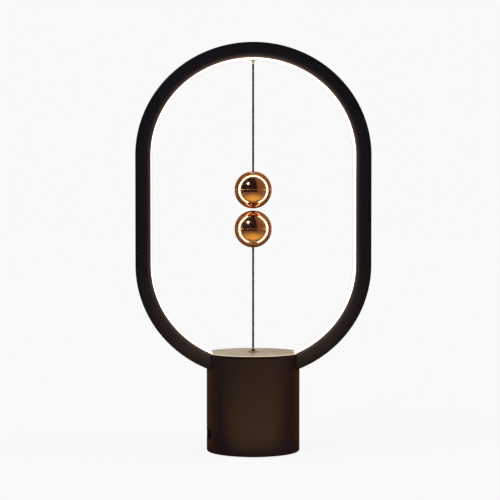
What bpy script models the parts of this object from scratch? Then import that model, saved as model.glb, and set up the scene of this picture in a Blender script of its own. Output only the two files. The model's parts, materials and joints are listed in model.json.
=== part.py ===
"""Magnetic balance lamp: a tall lit ring on a round base, with two magnetic balls on strings.

The lower string runs down through the base to a switch, so lifting the lower ball to the
upper one turns the light on. Lengths are in metres, +Z is up, the front faces -Y and the
origin is the middle of the footprint.
"""

import math

import bmesh
import bpy
from mathutils import Matrix, Vector

MM = 0.001

# General clearances and overruns
GAP = 0.3 * MM
SEAM_GAP = 0.25 * MM
OVERRUN = 2.0 * MM
SINK = 0.3 * MM
MERGE = 0.005 * MM
SCREW_MERGE = 0.01 * MM

# Ring: two half ellipses joined by straight sides, its lowest point sunk in the base
RING_HALF_WIDTH = 65.0 * MM
RING_ARC_RISE = 62.3 * MM
RING_STRAIGHT = 60.2 * MM
RING_SINK = 13.5 * MM
RING_THICKNESS = 8.6 * MM
RING_DEPTH = 20.5 * MM
RING_WALL = 1.6 * MM
RING_OUTER_ROUND = 0.9 * MM
RING_INNER_ROUND = 1.5 * MM
RING_LEDGE_WIDTH = 1.2 * MM
RING_LEDGE_THICKNESS = 1.0 * MM
RING_ARC_STEPS = 20
ROUND_STEPS = 2

# Diffuser in the ring's inner side
DIFFUSER_THICKNESS = 1.2 * MM
DIFFUSER_RECESS = 0.35 * MM
DIFFUSER_END_ANGLE = math.radians(70.0)
DIFFUSER_HOLE_RADIUS = 2.0 * MM

# Light strips on the ring's outer wall
STRIP_WIDTH = 8.0 * MM
STRIP_THICKNESS = 0.4 * MM
STRIP_LOWER_ANGLE = math.radians(70.0)
STRIP_UPPER_ANGLE = math.radians(86.0)
CHIP_LENGTH = 3.0 * MM
CHIP_WIDTH = 2.8 * MM
CHIP_HEIGHT = 0.8 * MM
CHIP_SPACING = 12.0 * MM
CHIP_SINK = 0.1 * MM

# Base shell
BASE_RADIUS = 25.85 * MM
BASE_HEIGHT = 55.5 * MM
BASE_WALL = 2.2 * MM
BASE_LIFT = 0.5 * MM
BASE_EDGE = 0.9 * MM
SHELF_WIDTH = 1.3 * MM
SHELF_HEIGHT = 1.6 * MM
POST_MARGIN = 2.9 * MM
POST_RADIUS = 2.5 * MM
POST_ANGLES = (math.radians(30.0), math.radians(150.0), math.radians(270.0))
RIB_WIDTH = 1.8 * MM
ROUND_SEGMENTS = 40

# Top disc and the eyelet in it
DISC_THICKNESS = 1.2 * MM
DISC_CHAMFER = 0.4 * MM
SKIRT_THICKNESS = 1.2 * MM
SKIRT_DEPTH = 2.4 * MM
EYELET_FLANGE_RADIUS = 2.9 * MM
EYELET_FLANGE_THICKNESS = 0.5 * MM
EYELET_LIFT = 0.2 * MM
EYELET_WALL = 0.7 * MM
EYELET_FLARE = 0.6 * MM
EYELET_LENGTH = 3.2 * MM

# Bottom cover, rubber foot ring and ballast
COVER_RECESS = 0.3 * MM
COVER_THICKNESS = 2.0 * MM
FOOT_MARGIN = 1.3 * MM
FOOT_WIDTH = 2.6 * MM
FOOT_HEIGHT = 1.6 * MM
BALLAST_THICKNESS = 4.0 * MM
BALLAST_MARGIN = 0.7 * MM

# Screws
SCREW_RADIUS = 0.9 * MM
SCREW_HEAD_RADIUS = 1.8 * MM
SCREW_HEAD_HEIGHT = 1.1 * MM
SCREW_POINT = 0.5 * MM
SCREW_DRIVE_RADIUS = 0.7 * MM
SCREW_DRIVE_DEPTH = 0.6 * MM
SCREW_CLEARANCE = 0.25 * MM
COVER_SCREW_LENGTH = 3.4 * MM
BOARD_SCREW_LENGTH = 2.6 * MM
BRACKET_SCREW_LENGTH = 5.0 * MM
RING_SCREW_LENGTH = 8.8 * MM
SWITCH_SCREW_LENGTH = 8.6 * MM
SWITCH_SCREW_SHARE = 0.85
SCREW_SEGMENTS = 12
HOLE_TURN = math.radians(7.0)

# Circuit board, driver and socket
BOARD_THICKNESS = 1.0 * MM
BOARD_MARGIN = 0.6 * MM
PORT_TURN = math.radians(10.0)
PORT_WIDTH = 12.3 * MM
PORT_HEIGHT = 5.9 * MM
SOCKET_WIDTH = 8.9 * MM
SOCKET_HEIGHT = 3.2 * MM
SOCKET_LENGTH = 7.1 * MM
SOCKET_WALL = 0.35 * MM
SOCKET_INSET = 0.6 * MM
SOCKET_STEPS = 5
TONGUE_WIDTH = 6.6 * MM
TONGUE_HEIGHT = 0.7 * MM
TONGUE_SETBACK = 0.9 * MM
TONGUE_FOOT = 1.4 * MM
BEZEL_WIDTH = 15.0 * MM
BEZEL_THICKNESS = 0.9 * MM
BEZEL_SETBACK = 1.0 * MM
BEZEL_HEIGHT = 6.3 * MM
CHIP_BODY = (5.0 * MM, 4.0 * MM, 1.5 * MM)
CHIP_PLACE_SHARE = (0.215, -0.498)
INDUCTOR_RADIUS = 3.2 * MM
INDUCTOR_HEIGHT = 4.2 * MM
INDUCTOR_WAIST = 0.5 * MM
INDUCTOR_FLANGE = 0.8 * MM
INDUCTOR_PLACE_SHARE = (0.541, -0.369)
CAPACITOR_RADIUS = 2.5 * MM
CAPACITOR_HEIGHT = 6.0 * MM
CAPACITOR_GROOVE = 0.3 * MM
CAPACITOR_PLACE_SHARE = (-0.300, -0.558)

# Draw rod with its cone, and the return spring round it
ROD_RADIUS = 1.2 * MM
ROD_TIP_DROP = 1.3 * MM
ROD_FLANGE_RADIUS = 3.6 * MM
ROD_FLANGE_THICKNESS = 1.0 * MM
ROD_FLANGE_RISE = 0.3 * MM
ROD_PIN_LENGTH = 5.0 * MM
ROD_TRAVEL = 3.0 * MM
CONE_ANGLE = math.radians(15.0)
CONE_MARGIN_BELOW = 2.0 * MM
CONE_MARGIN_ABOVE = 0.8 * MM
ROD_SEGMENTS = 20
SPRING_WIRE_RADIUS = 0.25 * MM
SPRING_RADIUS = 2.4 * MM
SPRING_PITCH = 1.7 * MM
SPRING_TURN_STEPS = 10

# Switch and the bracket that carries it
SWITCH_LENGTH = 12.8 * MM
SWITCH_DEPTH = 6.5 * MM
SWITCH_THICKNESS = 5.8 * MM
SWITCH_OFFSET = 1.6 * MM
SWITCH_FRONT_Y = 5.2 * MM
SWITCH_RISE = 8.7 * MM
SWITCH_SCREW_PITCH = 6.5 * MM
BUTTON_RADIUS = 0.7 * MM
BUTTON_REACH = 1.9 * MM
BUTTON_DEPTH = 1.5 * MM
BUTTON_ROUND = 0.3 * MM
TERMINAL_WIDTH = 1.4 * MM
TERMINAL_THICKNESS = 0.5 * MM
TERMINAL_LENGTH = 3.2 * MM
TERMINAL_SPREAD = 5.0 * MM
BRACKET_HALF_WIDTH = 9.0 * MM
BRACKET_FRONT_Y = -4.5 * MM
BRACKET_THICKNESS = 2.0 * MM
BRACKET_MARGIN = 0.4 * MM
BRACKET_SCREW_X = 7.0 * MM
GUIDE_RADIUS = 3.2 * MM
GUIDE_HEIGHT = 3.3 * MM

# Saddle that cradles the ring
SADDLE_DROP = 6.0 * MM
SADDLE_RISE = 4.5 * MM
SADDLE_PLATE = 2.6 * MM
SADDLE_CHEEK = 2.6 * MM
RING_SCREW_X_SHARE = 0.536
RING_SCREW_Y = 5.6 * MM
RING_BOSS_WIDTH = 5.0 * MM
RING_BOSS_FOOT = 2.1 * MM
RING_BOSS_HEIGHT = 4.3 * MM
WIRE_HOLE_X_SHARE = 0.786
WIRE_HOLE_SETBACK = 3.3 * MM
WIRE_HOLE_RADIUS = 1.6 * MM

# Balls, their cores and magnets
BALL_RADIUS = 10.35 * MM
BALL_WALL = 1.5 * MM
UPPER_BALL_DROP = 18.8 * MM
BALL_GAP = 1.0 * MM
BALL_SEAM_CHAMFER = 0.25 * MM
BALL_SEGMENTS = 24
BALL_ARC_STEPS = 6
BALL_INNER_STEPS = 3
CORE_HUB_RADIUS = 5.1 * MM
CORE_HUB_DEPTH = 6.6 * MM
CORE_NECK_RADIUS = 2.6 * MM
CORE_NECK_HEIGHT = 7.6 * MM
CORE_FLANGE_HALF = 1.2 * MM
CORE_SHOULDER = 3.4 * MM
MAGNET_RADIUS = 4.0 * MM
MAGNET_THICKNESS = 4.0 * MM
MAGNET_EDGE = 0.3 * MM
KNOT_RADIUS = 1.2 * MM

# Strings and the beads that they turn on
CORD_RADIUS = 0.6 * MM
BEAD_RADIUS = 1.0 * MM
UPPER_PIVOT_DROP = 1.2 * MM
LOWER_PIVOT_LIFT = 1.0 * MM
CORD_STEPS = 8
FERRULE_FLANGE_RADIUS = 2.5 * MM
FERRULE_FLANGE_THICKNESS = 0.5 * MM
FERRULE_LIFT = 0.75 * MM
FERRULE_RADIUS = 1.6 * MM
FERRULE_BORE = 0.9 * MM

# Wires inside the base
WIRE_RADIUS = 0.45 * MM
WIRE_STEPS = 14
WIRE_LIFT = 0.5 * MM
WIRE_OFFSET = 0.6 * MM
WIRE_STUB = 2.0 * MM
WIRE_BULGE_SHARE = 0.81
LED_RED_FOOT_SHARE = (0.738, -0.086)
LED_BLACK_FOOT_SHARE = (-0.541, -0.386)
SWITCH_WIRE_REACH_SHARE = 0.75

# Places worked out from the sizes above
BASE_INNER_RADIUS = BASE_RADIUS - BASE_WALL
SHELL_TOP_Z = BASE_HEIGHT - DISC_THICKNESS - SEAM_GAP
DISC_BOTTOM_Z = BASE_HEIGHT - DISC_THICKNESS
RING_BOTTOM_Z = BASE_HEIGHT - RING_SINK
RING_LOWER_Z = RING_BOTTOM_Z + RING_ARC_RISE
RING_UPPER_Z = RING_LOWER_Z + RING_STRAIGHT
RING_TOP_Z = RING_UPPER_Z + RING_ARC_RISE
RING_INNER_TOP_Z = RING_TOP_Z - RING_THICKNESS
RING_HALF_DEPTH = RING_DEPTH / 2
LEDGE_START = DIFFUSER_RECESS + DIFFUSER_THICKNESS + GAP
DIFFUSER_HALF_WIDTH = RING_HALF_DEPTH - RING_WALL - GAP
STRIP_OUTER = RING_WALL + GAP
STRIP_INNER = STRIP_OUTER + STRIP_THICKNESS
FOOT_OUTER_RADIUS = BASE_INNER_RADIUS - FOOT_MARGIN
FOOT_INNER_RADIUS = FOOT_OUTER_RADIUS - FOOT_WIDTH
POST_ORBIT = FOOT_INNER_RADIUS - POST_MARGIN
COVER_BOTTOM_Z = BASE_LIFT + COVER_RECESS
COVER_TOP_Z = COVER_BOTTOM_Z + COVER_THICKNESS
COVER_RADIUS = BASE_INNER_RADIUS - GAP
BALLAST_BOTTOM_Z = COVER_TOP_Z + GAP
BALLAST_TOP_Z = BALLAST_BOTTOM_Z + BALLAST_THICKNESS
BOARD_BOTTOM_Z = BALLAST_TOP_Z + GAP
BOARD_TOP_Z = BOARD_BOTTOM_Z + BOARD_THICKNESS
BOARD_RADIUS = BASE_INNER_RADIUS - BOARD_MARGIN
SOCKET_BOTTOM_Z = BOARD_TOP_Z + GAP
PORT_Z = SOCKET_BOTTOM_Z + SOCKET_HEIGHT / 2
SOCKET_MOUTH = BASE_INNER_RADIUS - SOCKET_INSET
BEZEL_FACE = SOCKET_MOUTH - BEZEL_SETBACK
BRACKET_BOTTOM_Z = BOARD_TOP_Z + GAP
BRACKET_TOP_Z = BRACKET_BOTTOM_Z + BRACKET_THICKNESS
GUIDE_TOP_Z = BRACKET_TOP_Z + GUIDE_HEIGHT
SWITCH_MID_Z = BRACKET_TOP_Z + SWITCH_RISE
SWITCH_BOTTOM_Z = SWITCH_MID_Z - SWITCH_THICKNESS / 2
SWITCH_TOP_Z = SWITCH_MID_Z + SWITCH_THICKNESS / 2
SWITCH_BACK_Y = SWITCH_FRONT_Y + SWITCH_DEPTH
SWITCH_LEFT_X = SWITCH_OFFSET - SWITCH_LENGTH / 2
SWITCH_RIGHT_X = SWITCH_OFFSET + SWITCH_LENGTH / 2
BUTTON_TIP_Y = SWITCH_FRONT_Y - BUTTON_REACH
CONE_RADIUS_AT_BUTTON = BUTTON_TIP_Y - GAP
CONE_BOTTOM_Z = SWITCH_MID_Z - CONE_MARGIN_BELOW
CONE_TOP_Z = SWITCH_MID_Z + ROD_TRAVEL + CONE_MARGIN_ABOVE
CONE_BOTTOM_RADIUS = CONE_RADIUS_AT_BUTTON + CONE_MARGIN_BELOW * math.tan(CONE_ANGLE)
CONE_TOP_RADIUS = CONE_RADIUS_AT_BUTTON - (CONE_TOP_Z - SWITCH_MID_Z) * math.tan(CONE_ANGLE)
ROD_FLANGE_Z = CONE_TOP_Z + ROD_FLANGE_RISE
ROD_FLANGE_TOP_Z = ROD_FLANGE_Z + ROD_FLANGE_THICKNESS
ROD_PIN_END_Z = CONE_BOTTOM_Z - ROD_PIN_LENGTH
LOWER_PIVOT_Z = BASE_HEIGHT + LOWER_PIVOT_LIFT
ROD_TOP_Z = LOWER_PIVOT_Z - ROD_TIP_DROP
ROD_BORE = ROD_RADIUS + GAP
SADDLE_BOTTOM_Z = RING_BOTTOM_Z - SADDLE_DROP
SADDLE_TOP_Z = RING_BOTTOM_Z + SADDLE_RISE
SPRING_BOTTOM_Z = ROD_FLANGE_TOP_Z + GAP + SPRING_WIRE_RADIUS
SPRING_TOP_Z = SADDLE_BOTTOM_Z - GAP - SPRING_WIRE_RADIUS
SPRING_TURNS = max(1, int((SPRING_TOP_Z - SPRING_BOTTOM_Z) / SPRING_PITCH))
RING_SCREW_X = BASE_INNER_RADIUS * RING_SCREW_X_SHARE
STRIP_END_X = (RING_HALF_WIDTH - STRIP_OUTER) * math.cos(STRIP_LOWER_ANGLE)
WIRE_HOLE_X = min(BASE_INNER_RADIUS * WIRE_HOLE_X_SHARE, STRIP_END_X - WIRE_HOLE_SETBACK)
UPPER_BALL_Z = RING_UPPER_Z - UPPER_BALL_DROP
UPPER_PIVOT_Z = RING_INNER_TOP_Z - UPPER_PIVOT_DROP
FERRULE_TOP_Z = RING_TOP_Z - RING_WALL - 2 * KNOT_RADIUS - 2 * GAP
LOWER_BALL_Z = UPPER_BALL_Z - 2 * BALL_RADIUS - BALL_GAP
BALL_HOLE_RADIUS = CORD_RADIUS + GAP
BALL_INNER_RADIUS = BALL_RADIUS - BALL_WALL
MAGNET_POCKET_RADIUS = MAGNET_RADIUS + GAP
MAGNET_FACE = CORE_HUB_DEPTH + GAP
MAGNET_BACK = MAGNET_FACE - MAGNET_THICKNESS
SCREW_HOLE = SCREW_RADIUS + SCREW_CLEARANCE
SCREW_HEAD_HOLE = SCREW_HEAD_RADIUS + SCREW_CLEARANCE


def clear_scene():
    for thing in list(bpy.data.objects):
        bpy.data.objects.remove(thing, do_unlink=True)


def new_collection(name):
    collection = bpy.data.collections.new(name)
    bpy.context.scene.collection.children.link(collection)
    return collection


clear_scene()
PARTS = new_collection("magnetic_balance_lamp")
CUTTERS = new_collection("cutters")


# Materials
def new_material(name, colour, roughness, metallic=0.0):
    material = bpy.data.materials.new(name)
    material.use_nodes = True
    shader = material.node_tree.nodes["Principled BSDF"]
    shader.inputs["Base Color"].default_value = (*colour, 1.0)
    shader.inputs["Roughness"].default_value = roughness
    shader.inputs["Metallic"].default_value = metallic
    return material


FINISHES = {
    "dark_body": ((0.012, 0.008, 0.008), 0.42, 0.0),
    "plate": ((0.24, 0.205, 0.165), 0.38, 0.0),
    "dark_inner": ((0.03, 0.03, 0.03), 0.6, 0.0),
    "diffuser": ((0.92, 0.88, 0.80), 0.5, 0.0),
    "copper": ((0.80, 0.36, 0.08), 0.08, 1.0),
    "cord": ((0.09, 0.07, 0.05), 0.8, 0.0),
    "steel": ((0.62, 0.62, 0.60), 0.3, 1.0),
    "brass": ((0.72, 0.55, 0.28), 0.3, 1.0),
    "iron": ((0.20, 0.20, 0.21), 0.6, 0.8),
    "magnet": ((0.70, 0.70, 0.72), 0.2, 1.0),
    "rubber": ((0.02, 0.02, 0.02), 0.8, 0.0),
    "board": ((0.02, 0.16, 0.07), 0.45, 0.0),
    "red_wire": ((0.55, 0.02, 0.02), 0.5, 0.0),
    "black_wire": ((0.02, 0.02, 0.02), 0.5, 0.0),
    "white_plastic": ((0.80, 0.80, 0.78), 0.5, 0.0),
}


def finish_of(piece, finish):
    colour, roughness, metallic = FINISHES[finish]
    piece.data.materials.append(new_material(piece.name, colour, roughness, metallic))


# Modelling helpers
def keep(piece, finish):
    PARTS.objects.link(piece)
    finish_of(piece, finish)
    return piece


def as_cutter(piece):
    CUTTERS.objects.link(piece)
    piece.hide_render = True
    piece.display_type = "WIRE"
    return piece


def smooth(mesh, angle=math.radians(40.0)):
    mesh.shade_smooth()
    mesh.set_sharp_from_angle(angle=angle)


def mesh_object(name, bm):
    mesh = bpy.data.meshes.new(name)
    bm.to_mesh(mesh)
    bm.free()
    return bpy.data.objects.new(name, mesh)


def block(name, low, high):
    """A box between two corners, with its origin at its centre."""
    bm = bmesh.new()
    bmesh.ops.create_cube(bm, size=1.0)
    size = Vector(high) - Vector(low)
    bmesh.ops.scale(bm, vec=size, verts=bm.verts)
    piece = mesh_object(name, bm)
    piece.location = (Vector(high) + Vector(low)) / 2
    return piece


def rod(name, radius, low, high, segments=ROUND_SEGMENTS, end_radius=None):
    """A cylinder, or a cone, from one point to another."""
    low, high = Vector(low), Vector(high)
    bm = bmesh.new()
    bmesh.ops.create_cone(
        bm,
        cap_ends=True,
        segments=segments,
        radius1=radius,
        radius2=radius if end_radius is None else end_radius,
        depth=(high - low).length,
    )
    piece = mesh_object(name, bm)
    smooth(piece.data)
    piece.location = (low + high) / 2
    piece.rotation_euler = (high - low).to_track_quat("Z", "Y").to_euler()
    return piece


def ball(name, radius, centre, segments=16, rings=10):
    bm = bmesh.new()
    bmesh.ops.create_uvsphere(bm, u_segments=segments, v_segments=rings, radius=radius)
    piece = mesh_object(name, bm)
    smooth(piece.data)
    piece.location = centre
    return piece


def turned(name, outline, closed=True, segments=ROUND_SEGMENTS, place=(0, 0, 0)):
    """A turned piece. The outline is (radius, height) pairs, down the outer side and up the inner one."""
    mesh = bpy.data.meshes.new(name)
    edges = [(i, i + 1) for i in range(len(outline) - 1)]
    if closed:
        edges.append((len(outline) - 1, 0))
    mesh.from_pydata([(radius, 0, height) for radius, height in outline], edges, [])
    piece = bpy.data.objects.new(name, mesh)
    screw = piece.modifiers.new("turn", "SCREW")
    screw.axis = "Z"
    screw.angle = math.tau
    screw.steps = segments
    screw.render_steps = segments
    screw.use_merge_vertices = True
    screw.merge_threshold = SCREW_MERGE
    screw.use_smooth_shade = False
    piece.location = place
    return piece


def boolean(piece, other, operation):
    modifier = piece.modifiers.new(operation.lower(), "BOOLEAN")
    modifier.operation = operation
    modifier.solver = "EXACT"
    modifier.object = other
    return piece


def cut(piece, *cutters):
    for cutter in cutters:
        if cutter.name not in CUTTERS.objects:
            as_cutter(cutter)
        boolean(piece, cutter, "DIFFERENCE")
    return piece


def join(piece, *others):
    for other in others:
        if other.name not in CUTTERS.objects:
            as_cutter(other)
        boolean(piece, other, "UNION")
    return piece


def carry(pivot, *pieces):
    """Parents pieces to an empty on their joint's axis, leaving them where they are."""
    for piece in pieces:
        piece.location = piece.location - pivot.location
        piece.parent = pivot


def pivot_at(name, place):
    pivot = bpy.data.objects.new(name, None)
    pivot.location = place
    PARTS.objects.link(pivot)
    return pivot


def arc(radius, start, end, steps, centre=(0.0, 0.0)):
    """Points on an arc, both ends included."""
    points = []
    for i in range(steps + 1):
        angle = start + (end - start) * i / steps
        points.append((centre[0] + radius * math.cos(angle), centre[1] + radius * math.sin(angle)))
    return points


# The ring's path and what is swept along it
def ring_point(angle, depth):
    """A point of the ring in X and Z, at a depth below its outer face."""
    middle = RING_UPPER_Z if math.sin(angle) >= 0 else RING_LOWER_Z
    return (
        (RING_HALF_WIDTH - depth) * math.cos(angle),
        middle + (RING_ARC_RISE - depth) * math.sin(angle),
    )


def ring_path(depth, start=0.0, end=math.tau):
    """The stadium's points from one angle to another, with both ends of each straight side."""
    step = math.pi / RING_ARC_STEPS
    corners = [turn * math.pi for turn in range(-1, 3)]
    angles = {start, end}
    angles.update(round(start / step) * step + i * step for i in range(int((end - start) / step) + 1))
    points = []
    for angle in sorted(a for a in angles if start <= a <= end):
        nearest = min(corners, key=lambda corner: abs(corner - angle))
        if abs(nearest - angle) > step / 100:
            points.append(ring_point(angle, depth))
            continue
        across = (RING_HALF_WIDTH - depth) * math.cos(nearest)
        rising = math.cos(nearest) > 0
        heights = (RING_LOWER_Z, RING_UPPER_Z) if rising else (RING_UPPER_Z, RING_LOWER_Z)
        points.extend((across, height) for height in heights)
    return points


def flat_spline(name, points, cyclic):
    curve = bpy.data.curves.new(name, "CURVE")
    curve.dimensions = "2D"
    curve.fill_mode = "NONE"
    spline = curve.splines.new("POLY")
    spline.points.add(len(points) - 1)
    for point, (x, y) in zip(spline.points, points):
        point.co = (x, y, 0, 1)
    spline.use_cyclic_u = cyclic
    return curve


def mesh_of_curve(name, source):
    """The curve as a welded mesh, standing where the curve stood."""
    bpy.context.scene.collection.objects.link(source)
    bpy.context.view_layer.update()
    evaluated = source.evaluated_get(bpy.context.evaluated_depsgraph_get())
    mesh = bpy.data.meshes.new_from_object(evaluated)
    matrix = source.matrix_world.copy()
    bpy.data.objects.remove(source, do_unlink=True)
    bm = bmesh.new()
    bm.from_mesh(mesh)
    bmesh.ops.remove_doubles(bm, verts=bm.verts, dist=MERGE)
    bmesh.ops.recalc_face_normals(bm, faces=bm.faces)
    bm.to_mesh(mesh)
    bm.free()
    mesh.name = name
    piece = bpy.data.objects.new(name, mesh)
    piece.matrix_world = matrix
    return piece


def swept(name, section, depth, start=0.0, end=math.tau):
    """A section carried round the ring. Its points are (depth below the outer face, y)."""
    whole = end - start >= math.tau - 0.001
    path = ring_path(depth, start, end)
    if whole:
        path = path[:-2]
    # A closed flat curve carries its section the other way round from an open one
    turn = -1 if whole else 1
    outline = flat_spline(name + "_section", [(turn * (depth - inset), -y) for inset, y in section], True)
    profile = bpy.data.objects.new(name + "_section", outline)
    bpy.context.scene.collection.objects.link(profile)
    curve = flat_spline(name + "_path", path, whole)
    curve.bevel_mode = "OBJECT"
    curve.bevel_object = profile
    curve.use_fill_caps = not whole
    source = bpy.data.objects.new(name + "_path", curve)
    source.rotation_euler = (math.radians(90.0), 0, 0)
    piece = mesh_of_curve(name, source)
    bpy.data.objects.remove(profile, do_unlink=True)
    smooth(piece.data)
    return piece


def ring_clearance(name, clearance):
    """The ring's outside grown by a clearance, for cutting the pieces it passes through."""
    low, high = -clearance, RING_THICKNESS + clearance
    side = RING_HALF_DEPTH + clearance
    section = [(low, -side), (high, -side), (high, side), (low, side)]
    return as_cutter(swept(name, section, RING_THICKNESS / 2))


def smooth_route(points, count):
    """Points along a smooth curve through a route's own points."""
    knots = [Vector(points[0])] + [Vector(p) for p in points] + [Vector(points[-1])]
    spans = len(points) - 1
    found = []
    for i in range(count + 1):
        place = min(i * spans / count, spans - 1e-9)
        k, t = int(place), place - int(place)
        a, b, c, d = knots[k : k + 4]
        found.append(
            0.5 * ((2 * b) + (c - a) * t + (2 * a - 5 * b + 4 * c - d) * t**2 + (3 * b - a - 3 * c + d) * t**3)
        )
    return found


def tube(name, points, radius, resolution=2):
    """A round tube along points, with closed ends."""
    curve = bpy.data.curves.new(name, "CURVE")
    curve.dimensions = "3D"
    curve.bevel_depth = radius
    curve.bevel_resolution = resolution
    curve.use_fill_caps = True
    spline = curve.splines.new("POLY")
    spline.points.add(len(points) - 1)
    for point, place in zip(spline.points, points):
        point.co = (*place, 1)
    return bpy.data.objects.new(name, curve)


def straight_cord(name, start_z, end_z):
    heights = [start_z + (end_z - start_z) * i / (CORD_STEPS - 1) for i in range(CORD_STEPS)]
    return tube(name, [(0, 0, z) for z in heights], CORD_RADIUS)


# Screws
def screw(name, head_z, length, place, up=1, share=1.0):
    """A pan head screw. head_z is the face that the head bears on, up is the side the head is on."""
    radius, head = SCREW_RADIUS * share, SCREW_HEAD_RADIUS * share
    drive = SCREW_DRIVE_RADIUS * share
    top = head_z + up * SCREW_HEAD_HEIGHT
    outline = [
        (0, top - up * SCREW_DRIVE_DEPTH),
        (drive, top - up * SCREW_DRIVE_DEPTH),
        (drive, top),
        (head, top),
        (head, head_z),
        (radius, head_z),
        (radius, head_z - up * (length - SCREW_POINT)),
        (0, head_z - up * length),
    ]
    if up < 0:
        outline.reverse()
    return turned(name, outline, closed=False, segments=SCREW_SEGMENTS, place=(*place, 0))


def screw_holes(name, place, low, high, radius=SCREW_HOLE):
    """A screw hole's cutter, turned a little so that its corners miss the piece's own edges."""
    cutter = rod(name, radius, (*place, low), (*place, high), segments=SCREW_SEGMENTS)
    cutter.data.transform(Matrix.Rotation(HOLE_TURN, 4, "Z"))
    return cutter


def post_places():
    return [(POST_ORBIT * math.cos(a), POST_ORBIT * math.sin(a)) for a in POST_ANGLES]


def post_shapes(name, growth, low, high):
    """The cover posts and their ribs, grown by a clearance when they are cut from another piece."""
    shapes = []
    for number, angle in enumerate(POST_ANGLES, 1):
        x, y = POST_ORBIT * math.cos(angle), POST_ORBIT * math.sin(angle)
        shapes.append(rod(f"{name}_post_{number}", POST_RADIUS + growth, (x, y, low), (x, y, high), segments=24))
        reach = BASE_INNER_RADIUS + SINK + growth
        half = RIB_WIDTH / 2 + growth
        rib = block(f"{name}_rib_{number}", (POST_ORBIT, -half, low), (reach, half, high))
        centre = rib.location.copy()
        rib.rotation_euler = (0, 0, angle)
        rib.location = Matrix.Rotation(angle, 3, "Z") @ centre
        shapes.append(rib)
    return shapes


# The port's own frame is turned from -X towards the front
def in_port_frame(piece):
    turn = Matrix.Rotation(PORT_TURN, 4, "Z")
    piece.matrix_world = turn @ piece.matrix_basis
    return piece


def rounded_slot(name, width, height, low_x, high_x, steps=6):
    """A slot with round ends, lying along X in the port's frame."""
    radius = height / 2
    half = width / 2 - radius
    outline = arc(radius, -math.pi / 2, math.pi / 2, steps, (half, 0))
    outline += arc(radius, math.pi / 2, 3 * math.pi / 2, steps, (-half, 0))
    curve = flat_spline(name, outline, True)
    curve.fill_mode = "BOTH"
    curve.extrude = (high_x - low_x) / 2
    source = bpy.data.objects.new(name, curve)
    source.rotation_euler = (math.radians(90.0), 0, math.radians(90.0))
    source.location = ((low_x + high_x) / 2, 0, PORT_Z)
    piece = mesh_of_curve(name, source)
    return in_port_frame(piece)


# Ring
def shell_section(side):
    """The section of one ring half: front wall, outer wall and the ledge behind the diffuser."""
    depth, half = RING_THICKNESS, RING_HALF_DEPTH
    outer = arc(RING_OUTER_ROUND, math.pi, 1.5 * math.pi, ROUND_STEPS, (RING_OUTER_ROUND, RING_OUTER_ROUND - half))
    inner = arc(
        RING_INNER_ROUND, -0.5 * math.pi, 0.0, ROUND_STEPS,
        (depth - RING_INNER_ROUND, RING_INNER_ROUND - half),
    )
    inside_face = RING_WALL - half
    ledge_inner = depth - LEDGE_START
    ledge_outer = ledge_inner - RING_LEDGE_THICKNESS
    ledge_end = inside_face + RING_LEDGE_WIDTH
    points = [(0.0, -SEAM_GAP / 2)] + outer + inner
    points += [
        (depth, inside_face),
        (ledge_inner, inside_face),
        (ledge_inner, ledge_end),
        (ledge_outer, ledge_end),
        (ledge_outer, inside_face),
        (RING_WALL, inside_face),
        (RING_WALL, -SEAM_GAP / 2),
    ]
    return [(inset, -y * side) for inset, y in points]


def ring_bosses(name, side):
    bosses = []
    for number, x in enumerate((-RING_SCREW_X, RING_SCREW_X), 1):
        low_z = RING_BOTTOM_Z + RING_BOSS_FOOT
        near = RING_SCREW_Y - RING_BOSS_WIDTH / 2
        far = RING_HALF_DEPTH - RING_WALL + SINK
        ys = sorted((side * near, side * far))
        bosses.append(
            block(
                f"{name}_boss_{number}",
                (x - RING_BOSS_WIDTH / 2, ys[0], low_z),
                (x + RING_BOSS_WIDTH / 2, ys[1], low_z + RING_BOSS_HEIGHT),
            )
        )
    return bosses


def ring_shell(name, side):
    shell = swept(name, shell_section(side), RING_THICKNESS / 2)
    join(shell, *ring_bosses(name, side))
    low = RING_BOTTOM_Z - OVERRUN
    for number, x in enumerate((-RING_SCREW_X, RING_SCREW_X), 1):
        high = RING_BOTTOM_Z + RING_BOSS_FOOT + RING_BOSS_HEIGHT + OVERRUN
        cut(shell, screw_holes(f"{name}_screw_hole_{number}", (x, side * RING_SCREW_Y), low, high))
    cut(shell, rod(f"{name}_rod_hole", ROD_BORE, (0, 0, low), (0, 0, BASE_HEIGHT), segments=ROD_SEGMENTS))
    for number, x in enumerate((-WIRE_HOLE_X, WIRE_HOLE_X), 1):
        high = RING_BOTTOM_Z + RING_THICKNESS
        cut(shell, rod(f"{name}_wire_hole_{number}", WIRE_HOLE_RADIUS, (x, 0, low), (x, 0, high), segments=20))
    return keep(shell, "dark_body")


def make_ring():
    ring_shell("ring_front_shell", -1)
    ring_shell("ring_rear_shell", 1)


def make_diffuser():
    inner = RING_THICKNESS - DIFFUSER_RECESS
    outer = inner - DIFFUSER_THICKNESS
    half = DIFFUSER_HALF_WIDTH
    section = [(outer, -half), (inner, -half), (inner, half), (outer, half)]
    end = DIFFUSER_END_ANGLE
    diffuser = swept("ring_diffuser", section, RING_THICKNESS / 2, -end, math.pi + end)
    low = RING_INNER_TOP_Z - OVERRUN
    high = RING_INNER_TOP_Z + DIFFUSER_RECESS + DIFFUSER_THICKNESS + OVERRUN
    cut(diffuser, rod("diffuser_hole", DIFFUSER_HOLE_RADIUS, (0, 0, low), (0, 0, high), segments=20))
    keep(diffuser, "diffuser")


def walk(points):
    """Each point of a path with its distance from the start."""
    reached, travelled = [0.0], 0.0
    for (x0, z0), (x1, z1) in zip(points, points[1:]):
        travelled += math.hypot(x1 - x0, z1 - z0)
        reached.append(travelled)
    return reached


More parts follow.
